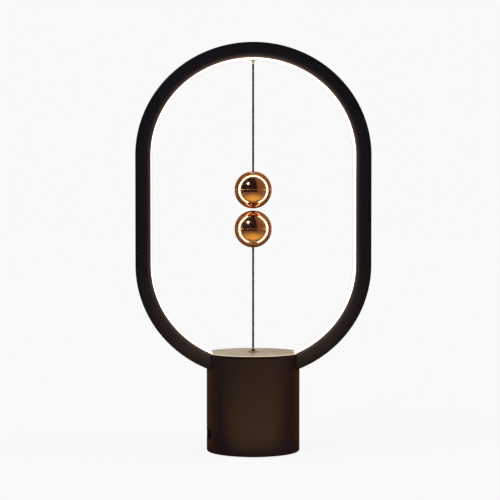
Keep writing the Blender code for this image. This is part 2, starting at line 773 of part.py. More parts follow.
def place_along(points, distance):
    """The point and the direction at a distance along a path."""
    reached = walk(points)
    for (a, b), start, end in zip(zip(points, points[1:]), reached, reached[1:]):
        if distance <= end:
            share = (distance - start) / (end - start)
            point = (a[0] + (b[0] - a[0]) * share, a[1] + (b[1] - a[1]) * share)
            return point, math.atan2(b[1] - a[1], b[0] - a[0])
    return points[-1], math.atan2(points[-1][1] - points[-2][1], points[-1][0] - points[-2][0])


def light_chips(name, start, end):
    """All the chips of one strip in one mesh, each sunk a little into the strip."""
    path = ring_path(STRIP_INNER - CHIP_SINK + CHIP_HEIGHT / 2, start, end)
    length = walk(path)[-1]
    count = int((length - CHIP_LENGTH) / CHIP_SPACING)
    spare = (length - (count - 1) * CHIP_SPACING) / 2
    bm = bmesh.new()
    for i in range(count):
        (x, z), heading = place_along(path, spare + i * CHIP_SPACING)
        made = bmesh.ops.create_cube(bm, size=1.0)["verts"]
        bmesh.ops.scale(bm, vec=(CHIP_LENGTH, CHIP_WIDTH, CHIP_HEIGHT), verts=made)
        bmesh.ops.rotate(bm, cent=(0, 0, 0), matrix=Matrix.Rotation(-heading, 3, "Y"), verts=made)
        bmesh.ops.translate(bm, vec=(x, 0, z), verts=made)
    return mesh_object(name, bm)


def make_light_strips():
    spans = {
        "led_strip_right": (-STRIP_LOWER_ANGLE, STRIP_UPPER_ANGLE),
        "led_strip_left": (math.pi - STRIP_UPPER_ANGLE, math.pi + STRIP_LOWER_ANGLE),
    }
    half = STRIP_WIDTH / 2
    section = [(STRIP_OUTER, -half), (STRIP_INNER, -half), (STRIP_INNER, half), (STRIP_OUTER, half)]
    for name, (start, end) in spans.items():
        strip = swept(name, section, RING_THICKNESS / 2, start, end)
        join(strip, light_chips(name + "_chips", start, end))
        keep(strip, "white_plastic")


# Base
def make_base_shell():
    outer, inner = BASE_RADIUS, BASE_INNER_RADIUS
    shelf_z = SADDLE_BOTTOM_Z - GAP
    outline = [
        (inner, SHELL_TOP_Z),
        (outer, SHELL_TOP_Z),
        (outer, BASE_LIFT + BASE_EDGE),
        (outer - BASE_EDGE, BASE_LIFT),
        (inner, BASE_LIFT),
        (inner, shelf_z - SHELF_HEIGHT - SHELF_WIDTH),
        (inner - SHELF_WIDTH, shelf_z - SHELF_HEIGHT),
        (inner - SHELF_WIDTH, shelf_z),
        (inner, shelf_z),
    ]
    shell = turned("base_shell", outline)
    join(shell, *post_shapes("shell", 0.0, BALLAST_BOTTOM_Z, BALLAST_TOP_Z))
    for number, place in enumerate(post_places(), 1):
        low, high = BALLAST_BOTTOM_Z - OVERRUN, BALLAST_TOP_Z + OVERRUN
        cut(shell, screw_holes(f"shell_post_hole_{number}", place, low, high))
    cut(shell, bpy.data.objects["ring_clearance"])
    low, high = -BASE_RADIUS - OVERRUN, -BASE_INNER_RADIUS + BASE_WALL
    cut(shell, rounded_slot("shell_port_slot", PORT_WIDTH, PORT_HEIGHT, low, high))
    keep(shell, "dark_body")


def make_top_disc():
    outer = BASE_RADIUS
    skirt_outer = BASE_INNER_RADIUS - GAP
    skirt_inner = skirt_outer - SKIRT_THICKNESS
    hole = ROD_BORE + EYELET_WALL + GAP
    skirt_z = DISC_BOTTOM_Z - SKIRT_DEPTH
    outline = [
        (hole, BASE_HEIGHT),
        (outer - DISC_CHAMFER, BASE_HEIGHT),
        (outer, BASE_HEIGHT - DISC_CHAMFER),
        (outer, DISC_BOTTOM_Z),
        (skirt_outer, DISC_BOTTOM_Z),
        (skirt_outer, skirt_z),
        (skirt_inner, skirt_z),
        (skirt_inner, DISC_BOTTOM_Z),
        (hole, DISC_BOTTOM_Z),
    ]
    disc = turned("top_disc", outline)
    cut(disc, bpy.data.objects["ring_clearance"])
    keep(disc, "plate")


def make_eyelet():
    flange_low = BASE_HEIGHT + EYELET_LIFT
    flange_high = flange_low + EYELET_FLANGE_THICKNESS
    sleeve = ROD_BORE + EYELET_WALL
    low = flange_high - EYELET_LENGTH
    outline = [
        (ROD_BORE + EYELET_FLARE, flange_high),
        (EYELET_FLANGE_RADIUS, flange_high),
        (EYELET_FLANGE_RADIUS, flange_low),
        (sleeve, flange_low),
        (sleeve, low),
        (ROD_BORE, low),
        (ROD_BORE, flange_high - 2 * EYELET_FLARE),
    ]
    keep(turned("cord_eyelet", outline, segments=24), "dark_body")


def make_cover_and_foot():
    foot_inner = FOOT_INNER_RADIUS
    groove_z = FOOT_HEIGHT + GAP
    outline = [
        (0, COVER_TOP_Z),
        (COVER_RADIUS, COVER_TOP_Z),
        (COVER_RADIUS, COVER_BOTTOM_Z),
        (FOOT_OUTER_RADIUS + GAP, COVER_BOTTOM_Z),
        (FOOT_OUTER_RADIUS + GAP, groove_z),
        (foot_inner - GAP, groove_z),
        (foot_inner - GAP, COVER_BOTTOM_Z),
        (0, COVER_BOTTOM_Z),
    ]
    cover = turned("bottom_cover", outline, closed=False)
    head_seat = COVER_BOTTOM_Z + SCREW_HEAD_HEIGHT
    for number, place in enumerate(post_places(), 1):
        low, high = COVER_BOTTOM_Z - OVERRUN, COVER_TOP_Z + OVERRUN
        cut(cover, screw_holes(f"cover_hole_{number}", place, low, high))
        seat = head_seat + SCREW_CLEARANCE
        cut(cover, screw_holes(f"cover_seat_{number}", place, low, seat, SCREW_HEAD_HOLE))
        keep(screw(f"cover_screw_{number}", head_seat, COVER_SCREW_LENGTH, place, up=-1), "steel")
    keep(cover, "dark_inner")
    foot = turned(
        "foot_ring",
        [
            (foot_inner, FOOT_HEIGHT),
            (FOOT_OUTER_RADIUS, FOOT_HEIGHT),
            (FOOT_OUTER_RADIUS, 0),
            (foot_inner, 0),
        ],
    )
    keep(foot, "rubber")


def bracket_screw_places():
    return [(-BRACKET_SCREW_X, 0), (BRACKET_SCREW_X, 0)]


def make_ballast():
    radius = BASE_INNER_RADIUS - BALLAST_MARGIN
    outline = [(0, BALLAST_TOP_Z), (radius, BALLAST_TOP_Z), (radius, BALLAST_BOTTOM_Z), (0, BALLAST_BOTTOM_Z)]
    ballast = turned("ballast", outline, closed=False, segments=36)
    low, high = BALLAST_BOTTOM_Z - OVERRUN, BALLAST_TOP_Z + OVERRUN
    cut(ballast, *post_shapes("ballast", GAP, low, high))
    for number, place in enumerate(bracket_screw_places(), 1):
        cut(ballast, screw_holes(f"ballast_hole_{number}", place, low, high))
    keep(ballast, "iron")


# Circuit board and what stands on it
def board_screw_places():
    return post_places()[::2]


def make_board():
    outline = [(0, BOARD_TOP_Z), (BOARD_RADIUS, BOARD_TOP_Z), (BOARD_RADIUS, BOARD_BOTTOM_Z), (0, BOARD_BOTTOM_Z)]
    board = turned("circuit_board", outline, closed=False, segments=36)
    low, high = BOARD_BOTTOM_Z - OVERRUN, BOARD_TOP_Z + OVERRUN
    for number, place in enumerate(board_screw_places(), 1):
        cut(board, screw_holes(f"board_hole_{number}", place, low, high))
        keep(screw(f"board_screw_{number}", BOARD_TOP_Z + GAP, BOARD_SCREW_LENGTH, place), "steel")
    for number, place in enumerate(bracket_screw_places(), 1):
        cut(board, screw_holes(f"board_bracket_hole_{number}", place, low, high))
    edge = -(BEZEL_FACE - BEZEL_THICKNESS - GAP)
    half = BEZEL_WIDTH / 2 + GAP
    notch = in_port_frame(block("board_notch", (-BASE_RADIUS, -half, low), (edge, half, high)))
    cut(board, notch)
    keep(board, "board")


def make_socket():
    mouth, back = -SOCKET_MOUTH, -SOCKET_MOUTH + SOCKET_LENGTH
    shell = rounded_slot("usb_socket_shell", SOCKET_WIDTH, SOCKET_HEIGHT, mouth, back, SOCKET_STEPS)
    hollow = rounded_slot(
        "socket_hollow",
        SOCKET_WIDTH - 2 * SOCKET_WALL,
        SOCKET_HEIGHT - 2 * SOCKET_WALL,
        mouth - OVERRUN,
        back + OVERRUN,
        SOCKET_STEPS,
    )
    keep(cut(shell, hollow), "steel")
    tongue = block(
        "usb_socket_tongue",
        (mouth + TONGUE_SETBACK, -TONGUE_WIDTH / 2, PORT_Z - TONGUE_HEIGHT / 2),
        (back, TONGUE_WIDTH / 2, PORT_Z + TONGUE_HEIGHT / 2),
    )
    clear = SOCKET_WALL + GAP
    foot = block(
        "tongue_foot",
        (back - TONGUE_FOOT, -TONGUE_WIDTH / 2, SOCKET_BOTTOM_Z + clear),
        (back, TONGUE_WIDTH / 2, SOCKET_BOTTOM_Z + SOCKET_HEIGHT - clear),
    )
    in_port_frame(tongue)
    keep(join(tongue, in_port_frame(foot)), "dark_inner")
    bezel = block(
        "port_bezel",
        (-BEZEL_FACE, -BEZEL_WIDTH / 2, BOARD_BOTTOM_Z),
        (-BEZEL_FACE + BEZEL_THICKNESS, BEZEL_WIDTH / 2, BOARD_BOTTOM_Z + BEZEL_HEIGHT),
    )
    in_port_frame(bezel)
    hole = rounded_slot(
        "bezel_hole", SOCKET_WIDTH + 2 * GAP, SOCKET_HEIGHT + 2 * GAP, mouth - OVERRUN, back, SOCKET_STEPS
    )
    keep(cut(bezel, hole), "dark_inner")


def on_board(shares):
    return tuple(share * BASE_INNER_RADIUS for share in shares)


def make_driver():
    foot = BOARD_TOP_Z + GAP
    x, y = on_board(CHIP_PLACE_SHARE)
    length, width, height = CHIP_BODY
    keep(
        block(
            "driver_chip",
            (x - length / 2, y - width / 2, foot),
            (x + length / 2, y + width / 2, foot + height),
        ),
        "dark_inner",
    )
    waist = INDUCTOR_RADIUS - INDUCTOR_WAIST
    top = foot + INDUCTOR_HEIGHT
    outline = [
        (0, top),
        (INDUCTOR_RADIUS, top),
        (INDUCTOR_RADIUS, top - INDUCTOR_FLANGE),
        (waist, top - INDUCTOR_FLANGE),
        (waist, foot + INDUCTOR_FLANGE),
        (INDUCTOR_RADIUS, foot + INDUCTOR_FLANGE),
        (INDUCTOR_RADIUS, foot),
        (0, foot),
    ]
    keep(turned("inductor", outline, closed=False, segments=20, place=(*on_board(INDUCTOR_PLACE_SHARE), 0)), "iron")
    top = foot + CAPACITOR_HEIGHT
    neck = CAPACITOR_RADIUS - CAPACITOR_GROOVE
    outline = [
        (0, top),
        (neck, top),
        (CAPACITOR_RADIUS, top - CAPACITOR_GROOVE),
        (CAPACITOR_RADIUS, foot + 3 * CAPACITOR_GROOVE),
        (neck, foot + 2 * CAPACITOR_GROOVE),
        (CAPACITOR_RADIUS, foot + CAPACITOR_GROOVE),
        (CAPACITOR_RADIUS, foot),
        (0, foot),
    ]
    keep(turned("capacitor", outline, closed=False, segments=20, place=(*on_board(CAPACITOR_PLACE_SHARE), 0)), "steel")


# Saddle under the ring
def make_saddle():
    radius = BASE_INNER_RADIUS - GAP
    outline = [(0, SADDLE_TOP_Z), (radius, SADDLE_TOP_Z), (radius, SADDLE_BOTTOM_Z), (0, SADDLE_BOTTOM_Z)]
    saddle = turned("ring_saddle", outline, closed=False, segments=36)
    plate_top = SADDLE_BOTTOM_Z + SADDLE_PLATE
    inside = RING_HALF_DEPTH + GAP + SADDLE_CHEEK
    for number, side in enumerate((-1, 1), 1):
        ys = sorted((side * inside, side * (BASE_RADIUS + OVERRUN)))
        low = (-BASE_RADIUS, ys[0], plate_top)
        high = (BASE_RADIUS, ys[1], SADDLE_TOP_Z + OVERRUN)
        cut(saddle, block(f"saddle_side_{number}", low, high))
    cut(saddle, bpy.data.objects["ring_clearance"])
    under, over = SADDLE_BOTTOM_Z - OVERRUN, SADDLE_TOP_Z + OVERRUN
    cut(saddle, rod("saddle_bore", ROD_BORE, (0, 0, under), (0, 0, over), segments=ROD_SEGMENTS))
    for number, x in enumerate((-WIRE_HOLE_X, WIRE_HOLE_X), 1):
        cut(saddle, rod(f"saddle_wire_hole_{number}", WIRE_HOLE_RADIUS, (x, 0, under), (x, 0, over), segments=20))
    number = 0
    for side in (-1, 1):
        for x in (-RING_SCREW_X, RING_SCREW_X):
            number += 1
            place = (x, side * RING_SCREW_Y)
            seat = SADDLE_BOTTOM_Z + SADDLE_PLATE
            cut(saddle, screw_holes(f"saddle_hole_{number}", place, under, over))
            cut(saddle, screw_holes(f"saddle_seat_{number}", place, under, seat, SCREW_HEAD_HOLE))
            keep(screw(f"ring_screw_{number}", seat - SCREW_CLEARANCE, RING_SCREW_LENGTH, place, up=-1), "steel")
    keep(saddle, "dark_inner")


# Draw rod, spring and switch
def make_draw_rod():
    outline = [
        (0, ROD_TOP_Z),
        (ROD_RADIUS, ROD_TOP_Z),
        (ROD_RADIUS, ROD_FLANGE_TOP_Z),
        (ROD_FLANGE_RADIUS, ROD_FLANGE_TOP_Z),
        (ROD_FLANGE_RADIUS, ROD_FLANGE_Z),
        (CONE_TOP_RADIUS, ROD_FLANGE_Z),
        (CONE_TOP_RADIUS, CONE_TOP_Z),
        (CONE_BOTTOM_RADIUS, CONE_BOTTOM_Z),
        (ROD_RADIUS, CONE_BOTTOM_Z),
        (ROD_RADIUS, ROD_PIN_END_Z),
        (0, ROD_PIN_END_Z),
    ]
    return keep(turned("draw_rod", outline, closed=False, segments=ROD_SEGMENTS), "white_plastic")


def spring_points():
    count = SPRING_TURNS * SPRING_TURN_STEPS
    points = []
    for i in range(count + 1):
        angle = math.tau * i / SPRING_TURN_STEPS
        height = SPRING_BOTTOM_Z + (SPRING_TOP_Z - SPRING_BOTTOM_Z) * i / count
        points.append(Vector((SPRING_RADIUS * math.cos(angle), SPRING_RADIUS * math.sin(angle), height)))
    return points


def least_gap(points, radius, apart):
    """The least gap between stretches of one tube that lie at least some points apart."""
    least = math.inf
    for i, first in enumerate(points):
        for second in points[i + apart :]:
            least = min(least, (first - second).length - 2 * radius)
    return least


def make_spring():
    points = spring_points()
    gap = least_gap(points, SPRING_WIRE_RADIUS, SPRING_TURN_STEPS - 2)
    print(f"return_spring: least gap between turns {gap / MM:.2f} mm")
    return keep(tube("return_spring", points, SPRING_WIRE_RADIUS, resolution=1), "steel")


def switch_screw_places():
    middle_y = SWITCH_FRONT_Y + SWITCH_DEPTH / 2
    return [
        (SWITCH_OFFSET - SWITCH_SCREW_PITCH / 2, middle_y),
        (SWITCH_OFFSET + SWITCH_SCREW_PITCH / 2, middle_y),
    ]


def make_bracket():
    back = SWITCH_BACK_Y + BRACKET_MARGIN
    bracket = block(
        "switch_bracket",
        (-BRACKET_HALF_WIDTH, BRACKET_FRONT_Y, BRACKET_BOTTOM_Z),
        (BRACKET_HALF_WIDTH, back, BRACKET_TOP_Z),
    )
    guide = rod(
        "bracket_guide", GUIDE_RADIUS, (0, 0, BRACKET_TOP_Z - SINK), (0, 0, GUIDE_TOP_Z), segments=24
    )
    shelf = block(
        "bracket_shelf",
        (SWITCH_LEFT_X, SWITCH_FRONT_Y, BRACKET_TOP_Z - SINK),
        (SWITCH_RIGHT_X, SWITCH_BACK_Y, SWITCH_BOTTOM_Z - GAP),
    )
    join(bracket, guide, shelf)
    low = BRACKET_BOTTOM_Z - OVERRUN
    cut(bracket, rod("bracket_bore", ROD_BORE, (0, 0, low), (0, 0, GUIDE_TOP_Z + OVERRUN), segments=ROD_SEGMENTS))
    for number, place in enumerate(bracket_screw_places(), 1):
        cut(bracket, screw_holes(f"bracket_hole_{number}", place, low, BRACKET_TOP_Z + OVERRUN))
        keep(screw(f"bracket_screw_{number}", BRACKET_TOP_Z + GAP, BRACKET_SCREW_LENGTH, place), "steel")
    hole = SCREW_RADIUS * SWITCH_SCREW_SHARE + SCREW_CLEARANCE
    for number, place in enumerate(switch_screw_places(), 1):
        depth = SWITCH_TOP_Z + GAP - SWITCH_SCREW_LENGTH - GAP
        cut(bracket, screw_holes(f"shelf_hole_{number}", place, depth, SWITCH_TOP_Z, hole))
    keep(bracket, "white_plastic")


def make_switch():
    body = block(
        "microswitch_body",
        (SWITCH_LEFT_X, SWITCH_FRONT_Y, SWITCH_BOTTOM_Z),
        (SWITCH_RIGHT_X, SWITCH_BACK_Y, SWITCH_TOP_Z),
    )
    reach = SWITCH_FRONT_Y + BUTTON_DEPTH + GAP
    low = (0, SWITCH_FRONT_Y - OVERRUN, SWITCH_MID_Z)
    cut(body, rod("button_hole", BUTTON_RADIUS + GAP, low, (0, reach, SWITCH_MID_Z), segments=20))
    hole = SCREW_RADIUS * SWITCH_SCREW_SHARE + SCREW_CLEARANCE
    for number, place in enumerate(switch_screw_places(), 1):
        low, high = SWITCH_BOTTOM_Z - OVERRUN, SWITCH_TOP_Z + OVERRUN
        cut(body, screw_holes(f"switch_hole_{number}", place, low, high, hole))
        piece = screw(
            f"switch_screw_{number}", SWITCH_TOP_Z + GAP, SWITCH_SCREW_LENGTH, place, share=SWITCH_SCREW_SHARE
        )
        keep(piece, "steel")
    keep(body, "dark_inner")
    for number, side in enumerate((-1, 1), 1):
        x = SWITCH_OFFSET + side * TERMINAL_SPREAD / 2
        low = (x - TERMINAL_WIDTH / 2, SWITCH_BACK_Y + GAP, SWITCH_MID_Z - TERMINAL_THICKNESS / 2)
        high = (
            x + TERMINAL_WIDTH / 2,
            SWITCH_BACK_Y + GAP + TERMINAL_LENGTH,
            SWITCH_MID_Z + TERMINAL_THICKNESS / 2,
        )
        keep(block(f"switch_terminal_{number}", low, high), "brass")


def make_button():
    length = BUTTON_REACH + BUTTON_DEPTH
    outline = [
        (0, length),
        (BUTTON_RADIUS - BUTTON_ROUND, length),
        (BUTTON_RADIUS, length - BUTTON_ROUND),
        (BUTTON_RADIUS, 0),
        (0, 0),
    ]
    button = turned("switch_button", outline, closed=False, segments=16)
    button.rotation_euler = (math.radians(90.0), 0, 0)
    button.location = (0, SWITCH_FRONT_Y + BUTTON_DEPTH, SWITCH_MID_Z)
    return keep(button, "white_plastic")


def led_wire_route(side, foot_share):
    """From the board, out along the wall, up through the saddle and the ring to the strip's end."""
    x, y = on_board(foot_share)
    hole = side * WIRE_HOLE_X
    bulge = side * BASE_INNER_RADIUS * WIRE_BULGE_SHARE
    end_x, end_z = ring_point(-STRIP_LOWER_ANGLE, STRIP_INNER)
    wall_z = ring_point(-math.acos(WIRE_HOLE_X / RING_HALF_WIDTH), RING_WALL)[1]
    low_z = BOARD_TOP_Z + WIRE_LIFT
    rise = SADDLE_BOTTOM_Z - low_z
    return [
        (x, y, low_z),
        (x, y, low_z + WIRE_STUB),
        ((x + bulge) / 2, y, low_z + rise / 4),
        (bulge, y / 2, low_z + rise / 2),
        (bulge, -WIRE_OFFSET, low_z + 3 * rise / 4),
        (hole, -WIRE_OFFSET, SADDLE_BOTTOM_Z),
        (hole, -WIRE_OFFSET, wall_z),
        (hole, -WIRE_OFFSET, end_z - WIRE_RADIUS),
        (side * (end_x - 2 * GAP), -WIRE_OFFSET, end_z + WIRE_RADIUS),
    ]


def switch_wire_route(side):
    """From a terminal's end, out and down to the board behind the switch."""
    x = SWITCH_OFFSET + side * TERMINAL_SPREAD / 2
    start_y = SWITCH_BACK_Y + TERMINAL_LENGTH + 2 * GAP
    far_y = start_y + WIRE_STUB
    low_z = BOARD_TOP_Z + WIRE_LIFT
    drop = SWITCH_MID_Z - low_z
    foot_y = BASE_INNER_RADIUS * SWITCH_WIRE_REACH_SHARE
    return [
        (x, start_y, SWITCH_MID_Z),
        (x, far_y, SWITCH_MID_Z - drop / 8),
        (x + side * WIRE_OFFSET, far_y, SWITCH_MID_Z - drop / 2),
        (x + 2 * side * WIRE_OFFSET, (far_y + foot_y) / 2, low_z + drop / 4),
        (x + 2 * side * WIRE_OFFSET, foot_y, low_z),
    ]


def make_wires():
    routes = {
        "led_wire_red": (led_wire_route(1, LED_RED_FOOT_SHARE), "red_wire"),
        "led_wire_black": (led_wire_route(-1, LED_BLACK_FOOT_SHARE), "black_wire"),
        "switch_wire_1": (switch_wire_route(-1), "red_wire"),
        "switch_wire_2": (switch_wire_route(1), "black_wire"),
    }
    for name, (route, finish) in routes.items():
        keep(tube(name, smooth_route(route, WIRE_STEPS), WIRE_RADIUS), finish)


# Balls
def half_ball(name, centre_z, side):
    """A half ball, open at the equator, with a hole for the string at its pole if it has one."""
    outer, inner = BALL_RADIUS, BALL_INNER_RADIUS
    seam = SEAM_GAP / 2
    chamfer = BALL_SEAM_CHAMFER
    hole = BALL_HOLE_RADIUS
    outer_start = math.acos(hole / outer)
    outer_end = math.asin((seam + chamfer) / outer)
    inner_start = math.asin(seam / inner)
    inner_end = math.acos(hole / inner)
    outline = arc(outer, outer_start, outer_end, BALL_ARC_STEPS)
    outline.append((outer - chamfer, seam))
    outline += arc(inner, inner_start, inner_end, BALL_INNER_STEPS)
    outline = [(radius, side * height) for radius, height in outline]
    if side < 0:
        outline.reverse()
    return keep(turned(name, outline, segments=BALL_SEGMENTS, place=(0, 0, centre_z)), "copper")


def core_outline():
    return [
        (CORE_NECK_RADIUS, CORE_NECK_HEIGHT),
        (CORE_NECK_RADIUS, CORE_FLANGE_HALF),
        (BALL_INNER_RADIUS - GAP, CORE_FLANGE_HALF),
        (BALL_INNER_RADIUS - GAP, -CORE_FLANGE_HALF),
        (CORE_HUB_RADIUS, -CORE_FLANGE_HALF),
        (CORE_HUB_RADIUS, -CORE_HUB_DEPTH),
        (MAGNET_POCKET_RADIUS, -CORE_HUB_DEPTH),
        (MAGNET_POCKET_RADIUS, -(MAGNET_BACK - GAP)),
        (KNOT_RADIUS + GAP, -(MAGNET_BACK - GAP)),
        (KNOT_RADIUS + GAP, CORE_SHOULDER),
        (BALL_HOLE_RADIUS, CORE_SHOULDER),
        (BALL_HOLE_RADIUS, CORE_NECK_HEIGHT),
    ]


def make_ball(name, centre_z, cord_side):
    """One ball. The string comes in on cord_side and the magnet is at the other pole."""
    pieces = [
        half_ball(name + "_top_shell", centre_z, 1),
        half_ball(name + "_bottom_shell", centre_z, -1),
    ]
    outline = [(radius, cord_side * height) for radius, height in core_outline()]
    if cord_side < 0:
        outline.reverse()
    core = turned(name + "_core", outline, segments=16, place=(0, 0, centre_z))
    pieces.append(keep(core, "white_plastic"))
    far, near = -cord_side * MAGNET_FACE, -cord_side * MAGNET_BACK
    top, bottom = max(far, near), min(far, near)
    outline = [
        (0, top),
        (MAGNET_RADIUS - MAGNET_EDGE, top),
        (MAGNET_RADIUS, top - MAGNET_EDGE),
        (MAGNET_RADIUS, bottom + MAGNET_EDGE),
        (MAGNET_RADIUS - MAGNET_EDGE, bottom),
        (0, bottom),
    ]
    magnet = turned(name + "_magnet", outline, closed=False, segments=16, place=(0, 0, centre_z))
    pieces.append(keep(magnet, "magnet"))
    knot_z = centre_z + cord_side * (CORE_SHOULDER - GAP - KNOT_RADIUS)
    pieces.append(keep(ball(name + "_knot", KNOT_RADIUS, (0, 0, knot_z), 12, 8), "cord"))
    return pieces


def knot_face(centre_z, cord_side):
    """Where a string ends inside its ball, just short of the knot."""
    return centre_z + cord_side * CORE_SHOULDER


def make_upper_string():
    flange_low = UPPER_PIVOT_Z + FERRULE_LIFT
    flange_high = flange_low + FERRULE_FLANGE_THICKNESS
    mouth = BEAD_RADIUS + GAP
    outline = [
        (FERRULE_BORE, FERRULE_TOP_Z),
        (FERRULE_RADIUS, FERRULE_TOP_Z),
        (FERRULE_RADIUS, flange_high),
        (FERRULE_FLANGE_RADIUS, flange_high),
        (FERRULE_FLANGE_RADIUS, flange_low),
        (mouth, flange_low),
        (FERRULE_BORE, UPPER_PIVOT_Z + mouth),
    ]
    keep(turned("cord_ferrule", outline, segments=20), "white_plastic")
    stem_end = UPPER_PIVOT_Z + BEAD_RADIUS + GAP
    knot_z = FERRULE_TOP_Z + GAP + KNOT_RADIUS
    joint = math.asin(CORD_RADIUS / KNOT_RADIUS)
    outline = [(0, knot_z + KNOT_RADIUS)]
    outline += arc(KNOT_RADIUS, math.radians(60.0), joint - math.pi / 2, 6, (0, knot_z))
    outline += [(CORD_RADIUS, stem_end), (0, stem_end)]
    keep(turned("upper_cord_end", outline, closed=False, segments=12), "cord")
    bead = keep(ball("upper_pivot_bead", BEAD_RADIUS, (0, 0, UPPER_PIVOT_Z), 12, 8), "brass")
    start = UPPER_PIVOT_Z - BEAD_RADIUS - GAP
    cord = keep(straight_cord("upper_cord", start, knot_face(UPPER_BALL_Z, 1)), "cord")
    return bead, cord


def make_lower_string():
    bead = keep(ball("lower_pivot_bead", BEAD_RADIUS, (0, 0, LOWER_PIVOT_Z), 12, 8), "brass")
    start = LOWER_PIVOT_Z + BEAD_RADIUS + GAP
    cord = keep(straight_cord("lower_cord", start, knot_face(LOWER_BALL_Z, -1)), "cord")
    return bead, cord


def build_lamp():
    ring_clearance("ring_clearance", SEAM_GAP)
    make_ring()
    make_diffuser()
    make_light_strips()
    make_base_shell()
    make_top_disc()
    make_eyelet()
    make_cover_and_foot()
    make_ballast()
    make_board()
    make_socket()
    make_driver()
    make_saddle()
    make_bracket()
    make_switch()
    make_wires()
    draw_axis = pivot_at("draw_rod_axis", (0, 0, ROD_FLANGE_Z))
    carry(draw_axis, make_draw_rod(), make_spring())
    carry(pivot_at("switch_button_axis", (0, SWITCH_FRONT_Y, SWITCH_MID_Z)), make_button())
    upper_pivot = pivot_at("upper_pivot", (0, 0, UPPER_PIVOT_Z))
    carry(upper_pivot, *make_upper_string(), *make_ball("upper_ball", UPPER_BALL_Z, 1))
    lower_pivot = pivot_at("lower_pivot", (0, 0, LOWER_PIVOT_Z))
    carry(lower_pivot, *make_lower_string(), *make_ball("lower_ball", LOWER_BALL_Z, -1))


build_lamp()
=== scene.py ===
"""The looks of the magnetic balance lamp: its fine surfaces, finishes, lamps and camera.

It is laid out as an add-on whose operators each make one piece, or one group of like pieces,
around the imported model. Lengths are in metres, +Z is up and the front faces -Y.
"""

import json
from math import acos, asin, cos, degrees, floor, hypot, pi, radians, sin, sqrt, tau

import bmesh
import bpy
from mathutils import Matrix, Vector


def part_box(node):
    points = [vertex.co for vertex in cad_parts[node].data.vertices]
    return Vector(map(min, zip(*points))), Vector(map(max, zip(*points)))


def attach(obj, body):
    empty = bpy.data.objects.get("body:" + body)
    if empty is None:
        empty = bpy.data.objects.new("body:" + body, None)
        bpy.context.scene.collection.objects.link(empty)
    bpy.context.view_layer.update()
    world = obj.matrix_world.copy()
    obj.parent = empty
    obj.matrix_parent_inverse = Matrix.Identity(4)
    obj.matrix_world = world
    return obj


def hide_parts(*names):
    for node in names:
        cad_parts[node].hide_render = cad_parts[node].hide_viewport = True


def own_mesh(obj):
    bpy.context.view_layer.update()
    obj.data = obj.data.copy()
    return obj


bl_info = {
    "name": "Magnetic balance lamp",
    "version": (1, 0, 0),
    "blender": (4, 5, 0),
    "location": "3D View > Sidebar > Balance Lamp",
    "description": "Makes the lamp's ring, base, balls and strings, with their finishes and a plain stage",
    "category": "Object",
}

MM = 0.001

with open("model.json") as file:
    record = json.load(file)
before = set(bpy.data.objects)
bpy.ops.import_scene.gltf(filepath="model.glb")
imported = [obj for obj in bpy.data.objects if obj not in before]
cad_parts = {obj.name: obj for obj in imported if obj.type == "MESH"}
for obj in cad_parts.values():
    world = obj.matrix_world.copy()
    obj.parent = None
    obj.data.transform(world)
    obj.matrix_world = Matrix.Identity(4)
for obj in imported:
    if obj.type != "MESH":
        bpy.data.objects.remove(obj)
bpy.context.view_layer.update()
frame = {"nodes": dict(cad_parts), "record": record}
RING_LOW, RING_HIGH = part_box("ring_front_shell")
STRIP_LOW, STRIP_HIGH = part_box("ring_diffuser")
DISC_LOW, DISC_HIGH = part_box("top_disc")

# Sizes that the boxes do not give. GAP is the room round a small fitted piece, and OVERLAP is how far a joined
# piece runs into the other.
GAP = 0.3 * MM
OVERLAP = 0.3 * MM
CLEARANCE = 0.25 * MM
SEAM = 0.25 * MM
RING_ARC_RISE = 62.3 * MM
RING_THICKNESS = 8.6 * MM
RING_WALL = 1.6 * MM
RING_LIP = 0.15 * MM
LEDGE_DEPTH = 1.85 * MM
LEDGE_THICKNESS = 1.0 * MM
LEDGE_WIDTH = 1.2 * MM
INNER_STRETCH = 2.2
BOSS_RISE = 2.1 * MM
BOSS_HEIGHT = 4.3 * MM
BOSS_HALF = 2.5 * MM
BOSS_EDGE = 0.3 * MM
BOSS_HOLE = 6.0 * MM
WIRE_HOLE_X = 18.3 * MM
WIRE_HOLE = 1.6 * MM
STRIP_THICKNESS = 1.4 * MM
STRIP_EDGE = 0.25 * MM
STRIP_NOTCH = 2.0 * MM
BASE_WALL = 2.2 * MM
SHELF_WIDTH = 1.3 * MM
SHELF_HEIGHT = 1.6 * MM
SCREW_HOLE = 1.15 * MM
SCREW_HEAD_HOLE = 2.05 * MM
SCREW_HEAD_DEPTH = 1.35 * MM
POST_RADIUS = 2.5 * MM
RIB_HALF = 0.9 * MM
DISC_THICKNESS = 1.2 * MM
SKIRT_THICKNESS = 1.2 * MM
SMALL_EDGE = 0.1 * MM
BORE = 1.5 * MM
EYE_WALL = 0.7 * MM
PORT_WIDTH = 12.3 * MM
PORT_HEIGHT = 5.9 * MM
PORT_EDGE = 0.35 * MM
PORT_TURN = radians(10.0)
COVER_HOLE = 2.0 * MM
FOOT_WIDTH = 2.6 * MM
BALL_WALL = 1.5 * MM
BALL_SEAM = 0.08 * MM
STRING_HOLE = 0.9 * MM
STRING_HOLE_EDGE = 0.12 * MM
BEAD_BORE = 0.4 * MM
STRING_SIDES = 28
STRING_ROW = 0.13 * MM
STRANDS = 3


def middle_of(node):
    return [sum(pair) / 2 for pair in zip(*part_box(node))]


def turned_ends(node):
    """A turned node's lower end, upper end and radius."""
    low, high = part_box(node)
    return low.z, high.z, high.x


